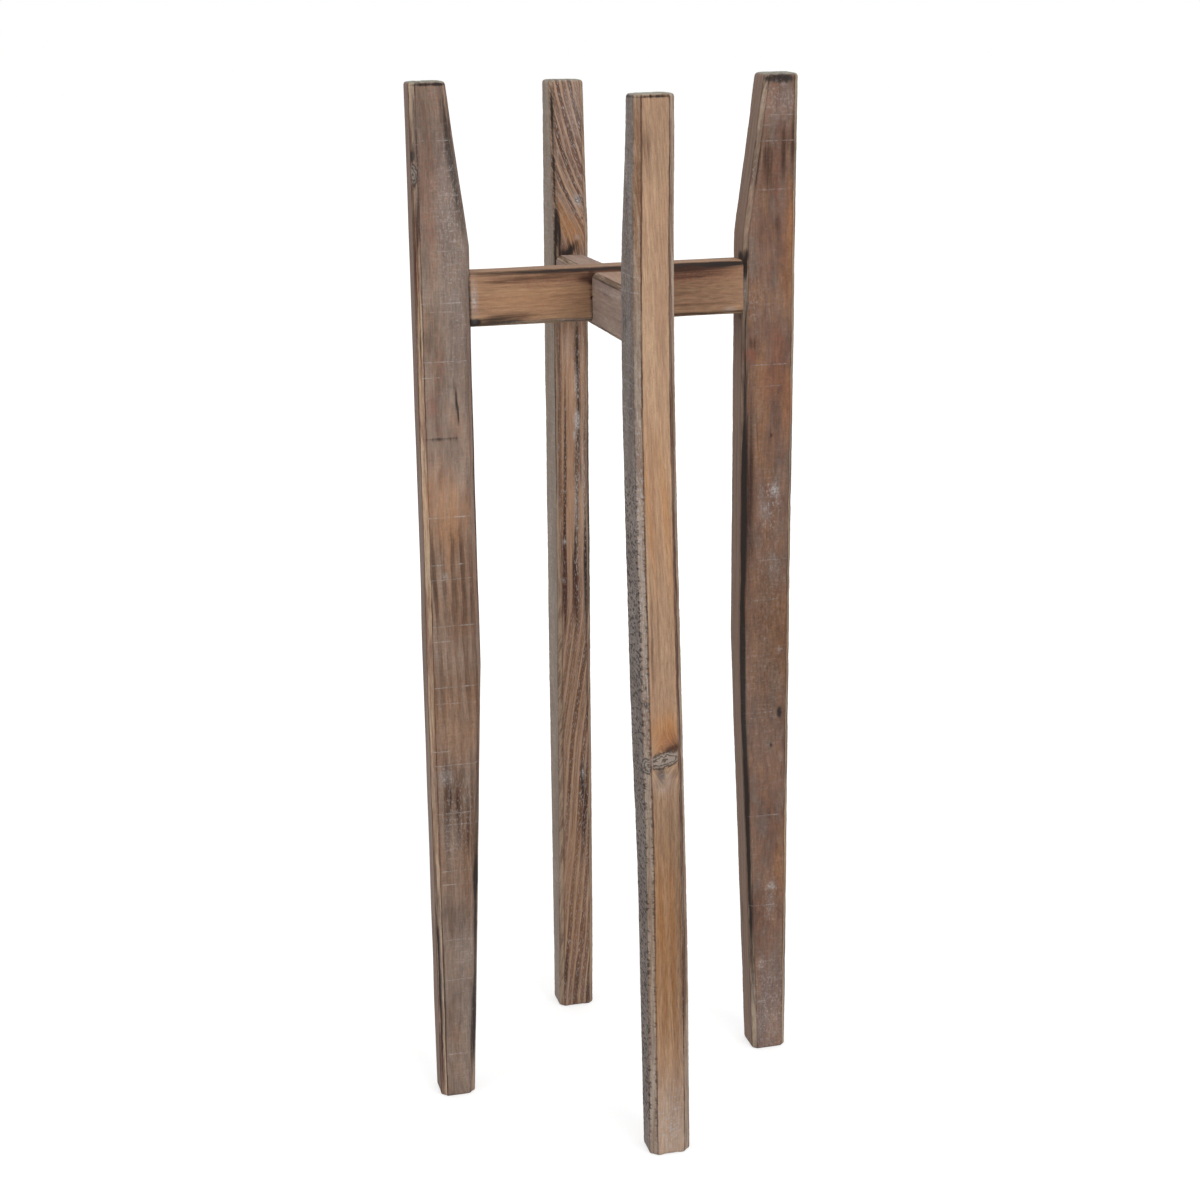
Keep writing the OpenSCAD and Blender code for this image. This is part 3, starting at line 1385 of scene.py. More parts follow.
@dataclass
class Rail(Stick):
    """A rail with a half lap at its middle. Its own Z runs along it, and its own X runs up."""

    turn: float = 0.0
    bottom: float = 0.0
    lap: float = 0.0
    lap_half: float = 12.3
    lap_below: bool = True

    def cut_joint(self, bm: bmesh.types.BMesh) -> None:
        """Cuts the notch of the half lap and closes its walls.

        Args:
            bm: The rail's mesh.
        """
        middle = self.length / 2
        walls = [((0, 0, middle + side * self.lap_half), (0, 0, 1)) for side in (-1, 1)]
        for place, facing in (*walls, ((self.lap, 0, 0), (1, 0, 0))):
            self.slice(bm, place, facing)
        gone = []
        for face in bm.faces:
            centre = face.calc_center_median()
            below = centre.x < self.lap if self.lap_below else centre.x > self.lap
            if below and abs(centre.z - middle) < self.lap_half:
                gone.append(face)
        bmesh.ops.delete(bm, geom=gone, context="FACES")
        levels = [middle + side * self.lap_half for side in (-1, 1)]
        for level in levels:
            corners = [vert for vert in bm.verts if vert.is_boundary and abs(vert.co.x - self.lap) < TINY
                       and abs(vert.co.z - level) < TINY]
            bmesh.ops.contextual_create(bm, geom=corners)
        for axis, level in ((0, self.lap), *((2, level) for level in levels)):
            rim = [edge for edge in bm.edges
                   if len(edge.link_faces) < 2 and self.is_level(edge, axis, level)]
            bmesh.ops.contextual_create(bm, geom=rim)

    def placing(self) -> Matrix:
        """Lays, turns and places the rail.

        Returns:
            The matrix that carries it.
        """
        lying = Matrix(
            ((0, 0, 1, -self.length / 2), (0, -1, 0, 0), (1, 0, 0, self.bottom), (0, 0, 0, 1)))
        return Matrix.Scale(MM, 4) @ Matrix.Rotation(radians(self.turn), 4, "Z") @ lying


# ---------------------------------------------------------------- finishes

LEG_SLOT = "leg_wood"
RAIL_SLOT = "rail_wood"

LEFT_FINISH = WoodFinish(
    name="Washed fir, left leg", slot=LEG_SLOT, early="#8a796e", late="#5c4537", sawn="#917e70",
    sawn_shade="#6a554a", worn="#b8a189", worn_shade="#86695a", wash="#aca5a0", spacing=6.7,
    late_start=0.32, late_full=0.6, dust=0.24, wide_line=1.0, narrow_line=0.9,
    cloud=0.35, glow="#98765d")
RIGHT_FINISH = WoodFinish(
    name="Washed fir, right leg", slot=LEG_SLOT, early="#8a7567", late="#665448", sawn="#846756",
    sawn_shade="#5c433a", worn="#a8927a", worn_shade="#6b5a50", wash="#a39b98", spacing=6.5, dust=0.2,
    wide_line=0.9, cloud=0.5, cool="#756a61", glow="#8e6a4d")
FRONT_FINISH = WoodFinish(
    name="Torched fir, front leg", slot=LEG_SLOT, early="#b9997c", late="#84624a", sawn="#857b74",
    sawn_shade="#675c56", worn="#a59382", worn_shade="#8a7260", spacing=5.2, ring=0.12, streak=1.7,
    wide_line=0.6, narrow_line=0.95, blotch=0.5, blush="#9c7a62")
BACK_FINISH = WoodFinish(
    name="Torched fir, back leg", slot=LEG_SLOT, early="#ae917a", late="#574033", sawn="#968779",
    sawn_shade="#7f7164", worn="#a48c77", worn_shade="#7d6655", spacing=4.9, ring=0.95, ragged=0.8,
    late_start=0.12, late_full=0.35, streak=1.2, wide_line=0.4, narrow_line=0.5, fleck=0.6)
THROUGH_FINISH = WoodFinish(
    name="Torched fir, through rail", slot=RAIL_SLOT, early="#b08b6c", late="#85634b", sawn="#b08b6c",
    sawn_shade="#85634b", worn="#9c8368", worn_shade="#5f4836", spacing=3.6, ring=0.15, sawn_sides=0.0,
    streak=1.3, wide_line=0.4, narrow_line=0.4, blotch=0.4, blush="#a47e66")
CROSS_FINISH = WoodFinish(
    name="Washed fir, cross rail", slot=RAIL_SLOT, early="#a08b7d", late="#75625a", sawn="#a08b7d",
    sawn_shade="#75625a", worn="#a9927e", worn_shade="#6b5645", spacing=6.0, ring=0.35, sawn_sides=0.5,
    wide_line=0.7)


def laid(stain: Stain, side: Side, *spots: tuple[float, ...]) -> tuple[Mark, ...]:
    """Lays marks of one stain on one side.

    Args:
        stain: What the marks leave.
        side: Where they lie.
        spots: Each mark's place along and across, half length and half breadth, and where they are
            not 1 and 0 its strength and tilt.

    Returns:
        The marks.
    """
    return tuple(Mark(stain, side, *spot) for spot in spots)


def scored(side: Side, *cuts: tuple[float, ...]) -> tuple[Score, ...]:
    """Scores one side.

    Args:
        side: The side.
        cuts: Each score's place along, start and end across, and where they are not 0 and 1 its tilt
            and strength.

    Returns:
        The scores.
    """
    return tuple(Score(side, *cut) for cut in cuts)


def left_looks() -> Looks:
    """Gives the left leg's looks: washed grey, with a burnt inner edge and ring stripes lower down.

    Returns:
        The looks.
    """
    side = Side.PLUS
    marks = (
        *laid(Stain.SHADE, side,
              (735, 26, 34, 20, 0.35), (705, 36.5, 56, 2.6, 0.4), (680, 18, 60, 16, 0.12),
              (588, 32, 9, 7, 0.35), (505, 22, 45, 26, -0.28), (468, 22, 28, 18, -0.4),
              (395, 20, 34, 28, 0.1), (320, 20, 35, 28, 0.15), (235, 20, 40, 28, 0.15),
              (205, 22, 30, 22, 0.12), (150, 22, 14, 22, 0.3), (60, 22, 60, 26, 0.15)),
        *laid(Stain.RINGS, side,
              (412, 20, 42, 30, 1.1), (335, 20, 32, 30, 0.55), (235, 20, 50, 30, 0.9)),
        *laid(Stain.WARM, side,
              (600, 37.8, 110, 0.9, 0.35), (460, 26, 30, 20, 0.4), (405, 20, 40, 26, 0.2),
              (315, 20, 46, 26, 0.22), (205, 20, 45, 26, 0.2)),
        *laid(Stain.RUST, side,
              (700, 26, 56, 14, 0.25), (660, 27, 10, 3, 0.25), (571, 23, 16, 1.6, 0.4),
              (540, 31, 9, 4, 0.45)),
        *laid(Stain.EDGE, side, (380, 0, 900, 22, -1.0)),
        *laid(Stain.BROWN, side,
              (725, 35.5, 26, 0.8, 0.4, 2), (706, 13.5, 56, 3.4, 0.35, 7.3), (700, 38.0, 60, 2.6, 0.4),
              (668, 36.4, 22, 0.7, 0.7, -3), (620, 38.8, 75, 0.8, 0.7), (600, 36.9, 60, 0.6, 0.6),
              (572, 15.8, 12, 0.8, 0.4), (480, 0.4, 190, 0.9, 0.8), (268, 29, 12, 2.4, 0.35),
              (240, 27, 26, 2.2, 0.7), (232, 20.8, 34, 2.2, 0.8), (226, 13.5, 32, 2.0, 0.7),
              (60, 17.0, 40, 3.0, 0.3, -2.3)),
        *laid(Stain.CHAR, side,
              (760.3, 26, 1.1, 16, 0.9), (712.5, 38.5, 4, 1.7, 1.0), (706, 11.0, 56, 3.8, 0.65, 7.3),
              (590, 35.0, 90, 0.6, 0.6), (538, 12.1, 19, 0.9, 1.0, 5.8), (516, 24, 1.3, 13, 0.6),
              (246, 26, 12, 1.6, 0.4), (178, 9.5, 14, 3.0, 0.6, -2.3), (165, 9.4, 115, 1.8, 0.7, -2.3),
              (110, 38, 100, 1.0, 0.8), (90, 35, 65, 0.9, 0.6), (56, 14.6, 40, 3.0, 0.75, -2.3)),
        *laid(Stain.WASH, side,
              (710, 36.5, 50, 2.0, 0.4), (690, 17, 30, 9, 0.5), (640, 13, 34, 12, 0.35),
              (590, 10, 50, 9, 0.3), (416, 24.7, 2.5, 2.5, 0.9), (262, 30, 7, 6, 0.75),
              (212, 26, 20, 8, 0.4), (120, 36.6, 70, 0.8, 0.6), (100, 18, 60, 8, 0.3)),
        *laid(Stain.FLECKS, side,
              (700.5, 38.2, 7, 3, 1.0), (700, 16, 40, 10, 0.25), (660, 10, 40, 12, 0.3),
              (235, 22, 40, 14, 0.35)),
        *laid(Stain.BROWN, Side.INNER, (300, -5, 120, 1.2, 0.6)),
        *laid(Stain.RINGS, Side.MINUS, (380, 20, 70, 30, 0.8)),
        *laid(Stain.RUST, Side.MINUS, (610, 26, 24, 6, 0.4)),
        *laid(Stain.CHAR, Side.MINUS, (690, 9, 60, 3, 0.7, -7), (300, 37.5, 120, 1.2, 0.8)),
        *laid(Stain.WASH, Side.MINUS, (520, 24, 60, 10, 0.4), (180, 20, 50, 9, 0.4)),
        *laid(Stain.BROWN, Side.OUTER, (430, 4, 160, 1.2, 0.5)),
        *laid(Stain.CHAR, Side.OUTER, (150, -8, 90, 1.4, 0.6)),
    )
    scores = (
        *scored(side,
              (723, 12, 32, 0, 0.6), (686, 7, 22, 0.03, 0.7), (648, 4, 24, -0.02, 0.8), (612, 6, 36),
              (606, 10, 30, 0.03, 0.6), (571, 4, 36, 0, 0.8), (560, 25, 37), (459, 5, 36, 0, 0.9),
              (424, 7, 35), (413, 6, 36, -0.01), (378, 4, 35, 0, 0.8), (366.5, 20, 36), (331.5, 3, 35),
              (319, 5, 34, 0.02), (282, 26, 37, 0, 1.2), (271, 5, 36), (233, 8, 36),
              (224, 6, 36, 0.02, 1.1), (187, 12, 34, 0, 0.7), (176, 10, 34, 0.02, 0.8),
              (131, 18, 33, 0, 1.1), (98, 14, 34, 0, 0.5), (36, 14, 34, 0, 0.9)),
        *scored(Side.MINUS,
              (640, 4, 34), (631, 10, 36, 0.03, 0.6), (512, 6, 34), (405, 3, 30, 0.02), (398, 10, 36),
              (262, 6, 35, 0, 0.8), (96, 16, 34)),
    )
    stations = (
        Station(20, outward=1.35, wider=2.0), Station(140, outward=0.95, wider=1.45),
        Station(244, outward=0.6, wider=0.95), Station(361, outward=0.2, wider=0.6),
        Station(440, outward=-0.65, wider=-0.5), Station(544, outward=-0.8, wider=-0.45),
        Station(690, outward=-1.4, wider=-0.25), Station(756, outward=-1.4),
    )
    knots = (Knot(side, 700.5, 38.4, 7.0, 2.6, 0.4), Knot(Side.MINUS, 452, 15, 6.0, 4.6, 0.4))
    grain = Grain((-58.5, 0), ((0, -2, 0), (240, -2, 0), (410, 0, 0)))
    return Looks(LEFT_FINISH, 100, grain, 4.0, marks, scores, knots, stations=stations)


def right_looks() -> Looks:
    """Gives the right leg's looks: reddish brown, with a black band down its inner bevel.

    Returns:
        The looks.
    """
    side = Side.MINUS
    marks = (
        *laid(Stain.SHADE, side,
              (743, 24, 14, 16, -0.2), (715, 8.8, 44, 1.4, -0.2, 7), (704, 24, 26, 20, 0.35),
              (480, 22, 13, 18, 0.15), (470, 6.5, 70, 3.5, 0.6), (400, 22, 330, 24, 0.08),
              (370, 22, 60, 20, 0.3), (340, 23, 70, 17, 0.22), (300, 22, 40, 20, 0.2),
              (15, 24, 20, 30, -0.15)),
        *laid(Stain.WARM, side,
              (655, 35, 30, 4, 0.4), (610, 32, 26, 6, 0.3), (530, 14, 40, 6, 0.3),
              (525, 34, 28, 4, 0.35), (350, 23, 60, 17, 0.28), (160, 34, 40, 5, 0.25)),
        *laid(Stain.RUST, side,
              (700, 24, 30, 3, 0.4), (640, 32, 40, 4, 0.2), (572, 26, 14, 6, 0.5), (563, 6, 6, 5, 0.8),
              (545, 24, 14, 10, 0.5), (524, 35, 18, 4, 0.5)),
        *laid(Stain.EDGE, side, (705, 9.5, 60, 5, -0.5, 7), (270, 0, 400, 12, -1.0)),
        *laid(Stain.BROWN, side,
              (716, 35.5, 26, 2.0, 0.7), (708, 28.5, 24, 2.6, 0.8), (700, 17, 20, 3.6, 0.7),
              (658, 25, 8, 3, 0.5), (572, 7, 5, 4, 0.6), (460, 6.2, 85, 3.8, 0.5)),
        *laid(Stain.CHAR, side,
              (759, 24, 3.4, 14, 0.9), (726, 26, 10, 2.5, 0.25), (703, 17, 14, 4, 0.25),
              (702, 10.2, 32, 0.8, 0.7, 7), (700, 31, 16, 4, 0.3), (636, 1.5, 5, 3.5, 0.7),
              (626, 0.9, 7, 1.9, 1.2), (598, 20, 14, 8, 0.2), (590, 2.2, 45, 0.7, 0.6),
              (503, 22.6, 2.2, 1.1, 0.8), (500, 12, 32, 0.8, 0.5, -4), (450, 2.3, 98, 2.5, 1.0),
              (300, 2.4, 80, 1.9, 1.0), (286, 31.3, 5, 1.8, 1.1), (260, 25.2, 2.0, 1.2, 0.9),
              (200, 7.4, 160, 1.8, 1.0, -2.3)),
        *laid(Stain.WASH, side,
              (741, 24, 15, 16, 0.26), (608, 1.2, 12, 1.4, 0.9), (461, 25.6, 5.5, 3.6, 1.2),
              (446, 18, 9, 5, 0.7), (400, 26.5, 14, 4, 0.5), (336, 31, 3, 1.6, 0.8),
              (310, 18, 60, 14, 0.3), (250, 32.6, 4, 2, 0.6), (142, 26.8, 4, 4, 1.0),
              (126, 26, 12, 3, 0.5), (76, 19, 8, 3, 0.7), (34, 25, 40, 14, 0.6)),
        *laid(Stain.FLECKS, side,
              (745, 24, 14, 14, 0.3), (715, 8.8, 44, 1.2, 0.6, 7), (604, 8, 18, 5, 0.4),
              (455, 22, 20, 8, 0.5), (400, 22, 60, 12, 0.25), (130, 26, 25, 6, 0.4),
              (40, 25, 40, 14, 0.4)),
        *laid(Stain.SHADE, Side.INNER, (555, 0, 45, 16, -0.3)),
        *laid(Stain.CHAR, Side.INNER,
              (634, -6, 4.5, 6, 1.0), (591, -6, 3, 5, 0.5), (115, 3, 15, 4, 0.4)),
        *laid(Stain.BROWN, Side.OUTER, (560, -4, 140, 1.2, 0.5)),
        *laid(Stain.CHAR, Side.OUTER, (330, 9, 120, 1.2, 0.7)),
        *laid(Stain.WASH, Side.OUTER, (90, 0, 60, 12, 0.4)),
        *laid(Stain.WARM, Side.PLUS, (120, 26, 50, 8, 0.3)),
        *laid(Stain.RUST, Side.PLUS, (430, 24, 50, 8, 0.4)),
        *laid(Stain.CHAR, Side.PLUS,
              (700, 34, 40, 2.4, 0.6), (520, 2.2, 110, 1.8, 0.9), (240, 29, 9, 2.0, 0.9)),
        *laid(Stain.WASH, Side.PLUS, (590, 20, 50, 9, 0.5), (300, 16, 60, 8, 0.4)),
    )
    scores = (
        *scored(side,
              (734, 14, 36, 0, 0.6), (727, 13, 20, 0, 1.2), (716, 11, 36, 0, 0.7),
              (682, 10, 34, 0.02, 0.5), (556, 5, 33, 0, 1.1), (540, 8, 30, 0.02, 0.4),
              (408, 14, 36, 0, 0.5), (377, 10, 34, 0.02, 0.5), (287, 4, 27, 0, 1.1),
              (283, 8, 30, 0.01, 0.5), (202, 8, 32, 0, 0.7), (126, 10, 30, 0, 0.7)),
        *scored(Side.PLUS,
              (668, 8, 36), (540, 4, 30, 0.03), (470, 6, 34), (350, 10, 36, 0.02, 0.7), (190, 8, 34)),
    )
    stations = (
        Station(20, outward=1.5, wider=2.5), Station(65, outward=1.35, wider=2.3),
        Station(145, outward=1.1, wider=1.7), Station(214, outward=0.65, wider=1.2),
        Station(290, outward=0.3, wider=0.9), Station(376, wider=0.5), Station(640, wider=0.5),
        Station(680, wider=-0.1), Station(740, wider=-0.3),
    )
    return Looks(RIGHT_FINISH, 200, Grain((10, 60)), 3.2, marks, scores, stations=stations)


def front_looks() -> Looks:
    """Gives the front leg's looks: planed tan in front with one large knot, and pitted grey beside it.

    Returns:
        The looks.
    """
    face, side = Side.OUTER, Side.MINUS
    marks = (
        *laid(Stain.SHADE, face,
              (732, 4, 24, 14, 0.25), (706, 0, 8, 9, 0.2), (390, 0, 70, 14, 0.15),
              (262, 0, 40, 14, 0.3), (190, 0, 90, 14, 0.5), (170, 8.6, 110, 4.0, 0.5),
              (90, 0, 70, 14, 0.25)),
        *laid(Stain.RINGS, face, (420, 0, 60, 14, 0.3), (165, 0, 100, 14, 0.9)),
        *laid(Stain.WARM, face,
              (500, 0, 60, 11, 0.2), (480, -6, 60, 1.2, 0.5, -2.8), (470, 5, 60, 2.0, 0.4, -2.8),
              (325, 1, 16, 10, 0.8), (165, -3, 85, 11, 0.75)),
        *laid(Stain.RUST, face, (320, 5, 8, 9, 0.5, -15)),
        *laid(Stain.BROWN, face,
              (724, -5.5, 22, 4.0, 0.4), (702, -9.4, 50, 0.8, 1.0), (690, 9.4, 60, 0.7, 0.7),
              (660, -9.4, 16, 0.8, 0.7), (480, 9.4, 60, 0.7, 0.7), (425, -9.9, 120, 0.8, 1.1),
              (400, -2, 40, 1.2, 0.3), (390, -6.5, 45, 1.6, 0.4), (316, 5, 5, 8, 0.35, -15),
              (313.5, 5, 2.6, 7, 0.5, -15), (170, -9.8, 110, 0.7, 0.6)),
        *laid(Stain.CHAR, face,
              (754.4, 0, 1.0, 16, 0.9), (726, -7.5, 14, 2.0, 0.25), (550, 9.2, 46, 0.8, 0.9),
              (385, -9.9, 75, 0.8, 0.6), (354, -2, 9, 5, 0.2), (301, -11, 2.5, 2.5, 0.7),
              (296, 3, 5, 7.0, 0.3), (292, -4, 10, 4.0, 0.45), (150, 10.5, 118, 1.6, 0.95)),
        *laid(Stain.WASH, face, (306, -10, 4, 4, 0.7), (290, -1, 9, 7, 0.6), (20, 0, 40, 14, 0.75)),
        *laid(Stain.FLECKS, face, (306, 0, 5, 13, 0.5, -15), (150, 10.2, 118, 1.6, 0.6)),
        *laid(Stain.SHADE, side, (590, 20, 50, 30, 0.25), (260, 20, 150, 30, 0.12)),
        *laid(Stain.WARM, side, (690, 37.5, 66, 2.6, 0.45)),
        *laid(Stain.BROWN, side, (690, 37.5, 66, 2.4, 0.35)),
        *laid(Stain.CHAR, side,
              (754.4, 22, 1.0, 22, 0.7), (633, 3, 3, 3, 1.0), (608, 14, 10, 6, 0.45),
              (359, 37.6, 1.8, 1.4, 0.7), (347, 37.6, 2.6, 1.4, 0.7)),
        *laid(Stain.WASH, side, (430, 37, 150, 2.4, 0.4), (60, 37.5, 60, 1.9, 0.5)),
        *laid(Stain.FLECKS, side, (500, 20, 300, 24, 0.3), (420, 37.4, 170, 2.2, 0.7)),
        *laid(Stain.RINGS, Side.INNER, (330, 0, 130, 14, 0.7)),
        *laid(Stain.BROWN, Side.INNER, (160, 5, 90, 1.4, 0.7)),
        *laid(Stain.CHAR, Side.INNER, (560, -6, 60, 1.6, 0.7)),
        *laid(Stain.WARM, Side.PLUS, (230, 24, 70, 9, 0.3)),
        *laid(Stain.BROWN, Side.PLUS, (380, 38.4, 400, 1.2, 0.75)),
        *laid(Stain.CHAR, Side.PLUS, (640, 3, 70, 1.6, 0.8), (120, 30, 50, 1.4, 0.6)),
        *laid(Stain.WASH, Side.PLUS, (470, 20, 90, 10, 0.45)),
    )
    scores = (
        *scored(side,
              (710, 0, 30, 0.05, 0.4), (640, 0, 39), (629, 5, 39, 0.05, 0.8), (580, 0, 38, 0.04, 1.2),
              (569, 8, 39, 0, 0.9), (551, 0, 30, 0.08), (540, 10, 39, 0, 0.7), (470, 10, 39, 0, 0.4),
              (420, 0, 30, 0, 0.4), (390, 10, 39, 0.05, 0.4), (171, 4, 32, 0.1)),
        *scored(Side.PLUS,
              (664, 4, 34), (521, 2, 36, 0.03), (513, 8, 34), (340, 4, 36), (148, 8, 34, 0.04, 0.8)),
    )
    stations = (
        Station(20, sideways=-0.4, thicker=2.8), Station(115, sideways=0.3, thicker=2.4),
        Station(208, sideways=0.7, thicker=1.6), Station(270, sideways=0.3, thicker=1.6),
        Station(328, sideways=-0.3, thicker=1.7), Station(385, sideways=-0.85, thicker=1.5),
        Station(470, sideways=-1.55, thicker=1.4), Station(565, sideways=-1.8, thicker=1.0),
        Station(610, sideways=-1.4, thicker=0.8), Station(657, sideways=-0.75, thicker=0.35),
        Station(683, thicker=0.2), Station(735, sideways=1.1, thicker=0.25),
    )
    knots = (Knot(face, 306, -0.5, 5.2, 13.5, 0.9, -15), Knot(side, 302.4, 39.0, 5.4, 6.0, 0.5, -10))
    pitting = (Pitting(side, 15, 505), Pitting(side, 505, 740, 0.3))
    grain = Grain((-40, 90), ((0, 0, 0), (430, 0, 0), (530, 0, -5), (640, 0, -8), (756, 0, -17)))
    return Looks(FRONT_FINISH, 300, grain, 4.2, marks, scores, knots, pitting, stations)


def back_looks() -> Looks:
    """Gives the back leg's looks: burnt ring stripes that slant at the top and curve lower down.

    Returns:
        The looks.
    """
    face, side = Side.INNER, Side.PLUS
    marks = (
        *laid(Stain.SHADE, face, (556, 0, 36, 14, -1.1), (300, 0, 72, 14, 0.1), (14, 0, 24, 14, 0.1)),
        *laid(Stain.RINGS, face,
              (470, 0, 105, 14, -0.8), (275, 0, 90, 14, 0.6), (140, 3, 60, 14, -0.35)),
        *laid(Stain.WARM, face,
              (654, 6, 20, 5, 0.55, 25), (645, -4, 12, 9, 0.4), (470, 3, 90, 12, 0.3),
              (270, 0, 100, 14, 0.15), (100, 0, 90, 14, 0.2)),
        *laid(Stain.BROWN, face,
              (632, 1, 9, 10, 0.5), (545, 10.5, 36, 1.2, 0.5), (520, 2.5, 60, 0.8, 0.35),
              (470, -5.5, 30, 1.6, 0.6, 2), (445, 7.0, 100, 1.5, 0.9, -0.6),
              (430, -12.4, 200, 0.7, 0.8), (368, -1.0, 38, 3.0, 0.9), (368, 8.0, 38, 2.2, 0.8),
              (190, -8, 40, 3.4, 0.6, -4), (190, 2, 40, 1.4, 0.4, -4), (150, -6, 34, 3.4, 0.5, -4)),
        *laid(Stain.CHAR, face,
              (668.3, -5.4, 2.2, 1.8, 1.4), (655, -8.7, 1.6, 1.4, 0.8), (652, 10, 14, 1.2, 0.7),
              (640, 9.5, 12, 1.4, 0.9), (634, -1, 7, 3, 0.6, -35), (631, 2, 4, 9, 0.3),
              (627, 6.5, 5, 5, 0.6), (550, -3.4, 42, 2.0, 0.9, 1), (480, -3.4, 40, 2.6, 0.65, -3),
              (450, 7.0, 95, 0.8, 0.3, -0.6), (445, -9.0, 80, 1.4, 0.7),
              (410, -1.6, 42, 1.9, 0.75, -2.5), (372, -9.6, 44, 2.4, 0.7), (275, -11.5, 44, 2.4, 1.0),
              (207, -5.3, 15, 1.6, 0.9), (188, -7, 10, 3, 0.4), (38, 9, 22, 2.2, 0.4),
              (30, 0, 25, 2, 0.4), (12, -10, 11, 3.2, 0.5)),
        *laid(Stain.WASH, face,
              (735, -6, 20, 10, 0.3), (668.3, -5.4, 4.2, 3.6, 0.9), (641, -4.3, 2.0, 2, 1.0),
              (558, 4.5, 14, 3, 0.35), (530, -2.8, 13, 1.4, 0.8), (501, -3, 7, 2.5, 1.2),
              (500, -3.2, 9, 1.6, 0.6), (489, -1, 5, 1.6, 1.0), (455, -8.2, 30, 1.6, 0.5),
              (434, -1.5, 20, 1.4, 0.8), (405, 8, 2.2, 2, 1.1), (374, 9, 2.2, 1.6, 0.8),
              (210, -5.8, 5, 1.0, 1.3)),
        *laid(Stain.FLECKS, face,
              (457, -2.8, 120, 2.4, 0.8, -0.5), (455, 7.0, 95, 1.6, 0.6, -0.6),
              (450, -9.0, 85, 1.8, 0.7), (170, -7, 50, 4.4, 0.5)),
        *laid(Stain.EDGE, side, (690, 7, 55, 8, -1.0), (490, 2, 110, 5, -0.7)),
        *laid(Stain.BROWN, side, (230, 4.8, 115, 0.9, 0.5, -2.3)),
        *laid(Stain.CHAR, side,
              (735, 12.8, 16, 1.2, 0.9, 7), (690, 7.2, 34, 1.0, 0.8, 7), (650, 1.8, 16, 1.2, 0.9, 4),
              (618, 2.0, 32, 1.1, 0.9), (500, 3.5, 90, 0.8, 0.6)),
        *laid(Stain.WASH, side, (380, 20, 90, 9, 0.35)),
        *laid(Stain.RUST, Side.MINUS, (300, 26, 60, 7, 0.35)),
        *laid(Stain.CHAR, Side.MINUS, (420, 2.4, 110, 1.6, 0.8)),
        *laid(Stain.WASH, Side.MINUS, (600, 20, 70, 10, 0.4)),
        *laid(Stain.SHADE, Side.OUTER, (380, 0, 420, 20, -0.3)),
        *laid(Stain.WARM, Side.OUTER, (480, 4, 90, 8, 0.4)),
        *laid(Stain.CHAR, Side.OUTER, (700, 8, 50, 2.0, 0.8), (360, -7, 120, 1.6, 0.7)),
        *laid(Stain.WASH, Side.OUTER, (120, 0, 60, 10, 0.4)),
    )
    scores = (
        *scored(side, (520, 6, 36), (214, 8, 34)),
        *scored(Side.MINUS, (655, 4, 34), (560, 6, 36, 0.03), (402, 4, 34), (250, 8, 36, 0, 0.8)),
    )
    stations = (
        Station(30, sideways=-0.7, thicker=1.2), Station(75, sideways=-0.6, thicker=0.9),
        Station(150, sideways=-0.3, thicker=0.7), Station(187, sideways=-0.1, thicker=0.4),
        Station(255, sideways=0.25), Station(300, sideways=0.75, thicker=-0.5),
        Station(357, sideways=0.6, thicker=-0.3), Station(440, sideways=0.6, thicker=-0.8),
        Station(560, sideways=0.25, thicker=-0.5), Station(632, sideways=-0.05, thicker=-0.5),
        Station(690, sideways=-0.2, thicker=-0.65), Station(741, sideways=-0.65, thicker=-0.7),
    )
    drift = ((0, 0, 35), (250, 0, 15.5), (357, 0, 0), (635, 0, 0), (690, 0, 25), (756, 0, 43))
    knots = (Knot(Side.OUTER, 566, -2, 7.0, 5.0, 0.5),)
    grain = Grain((12, -110), drift, 0.5)
    return Looks(BACK_FINISH, 400, grain, 3.2, marks, scores, knots, stations=stations)


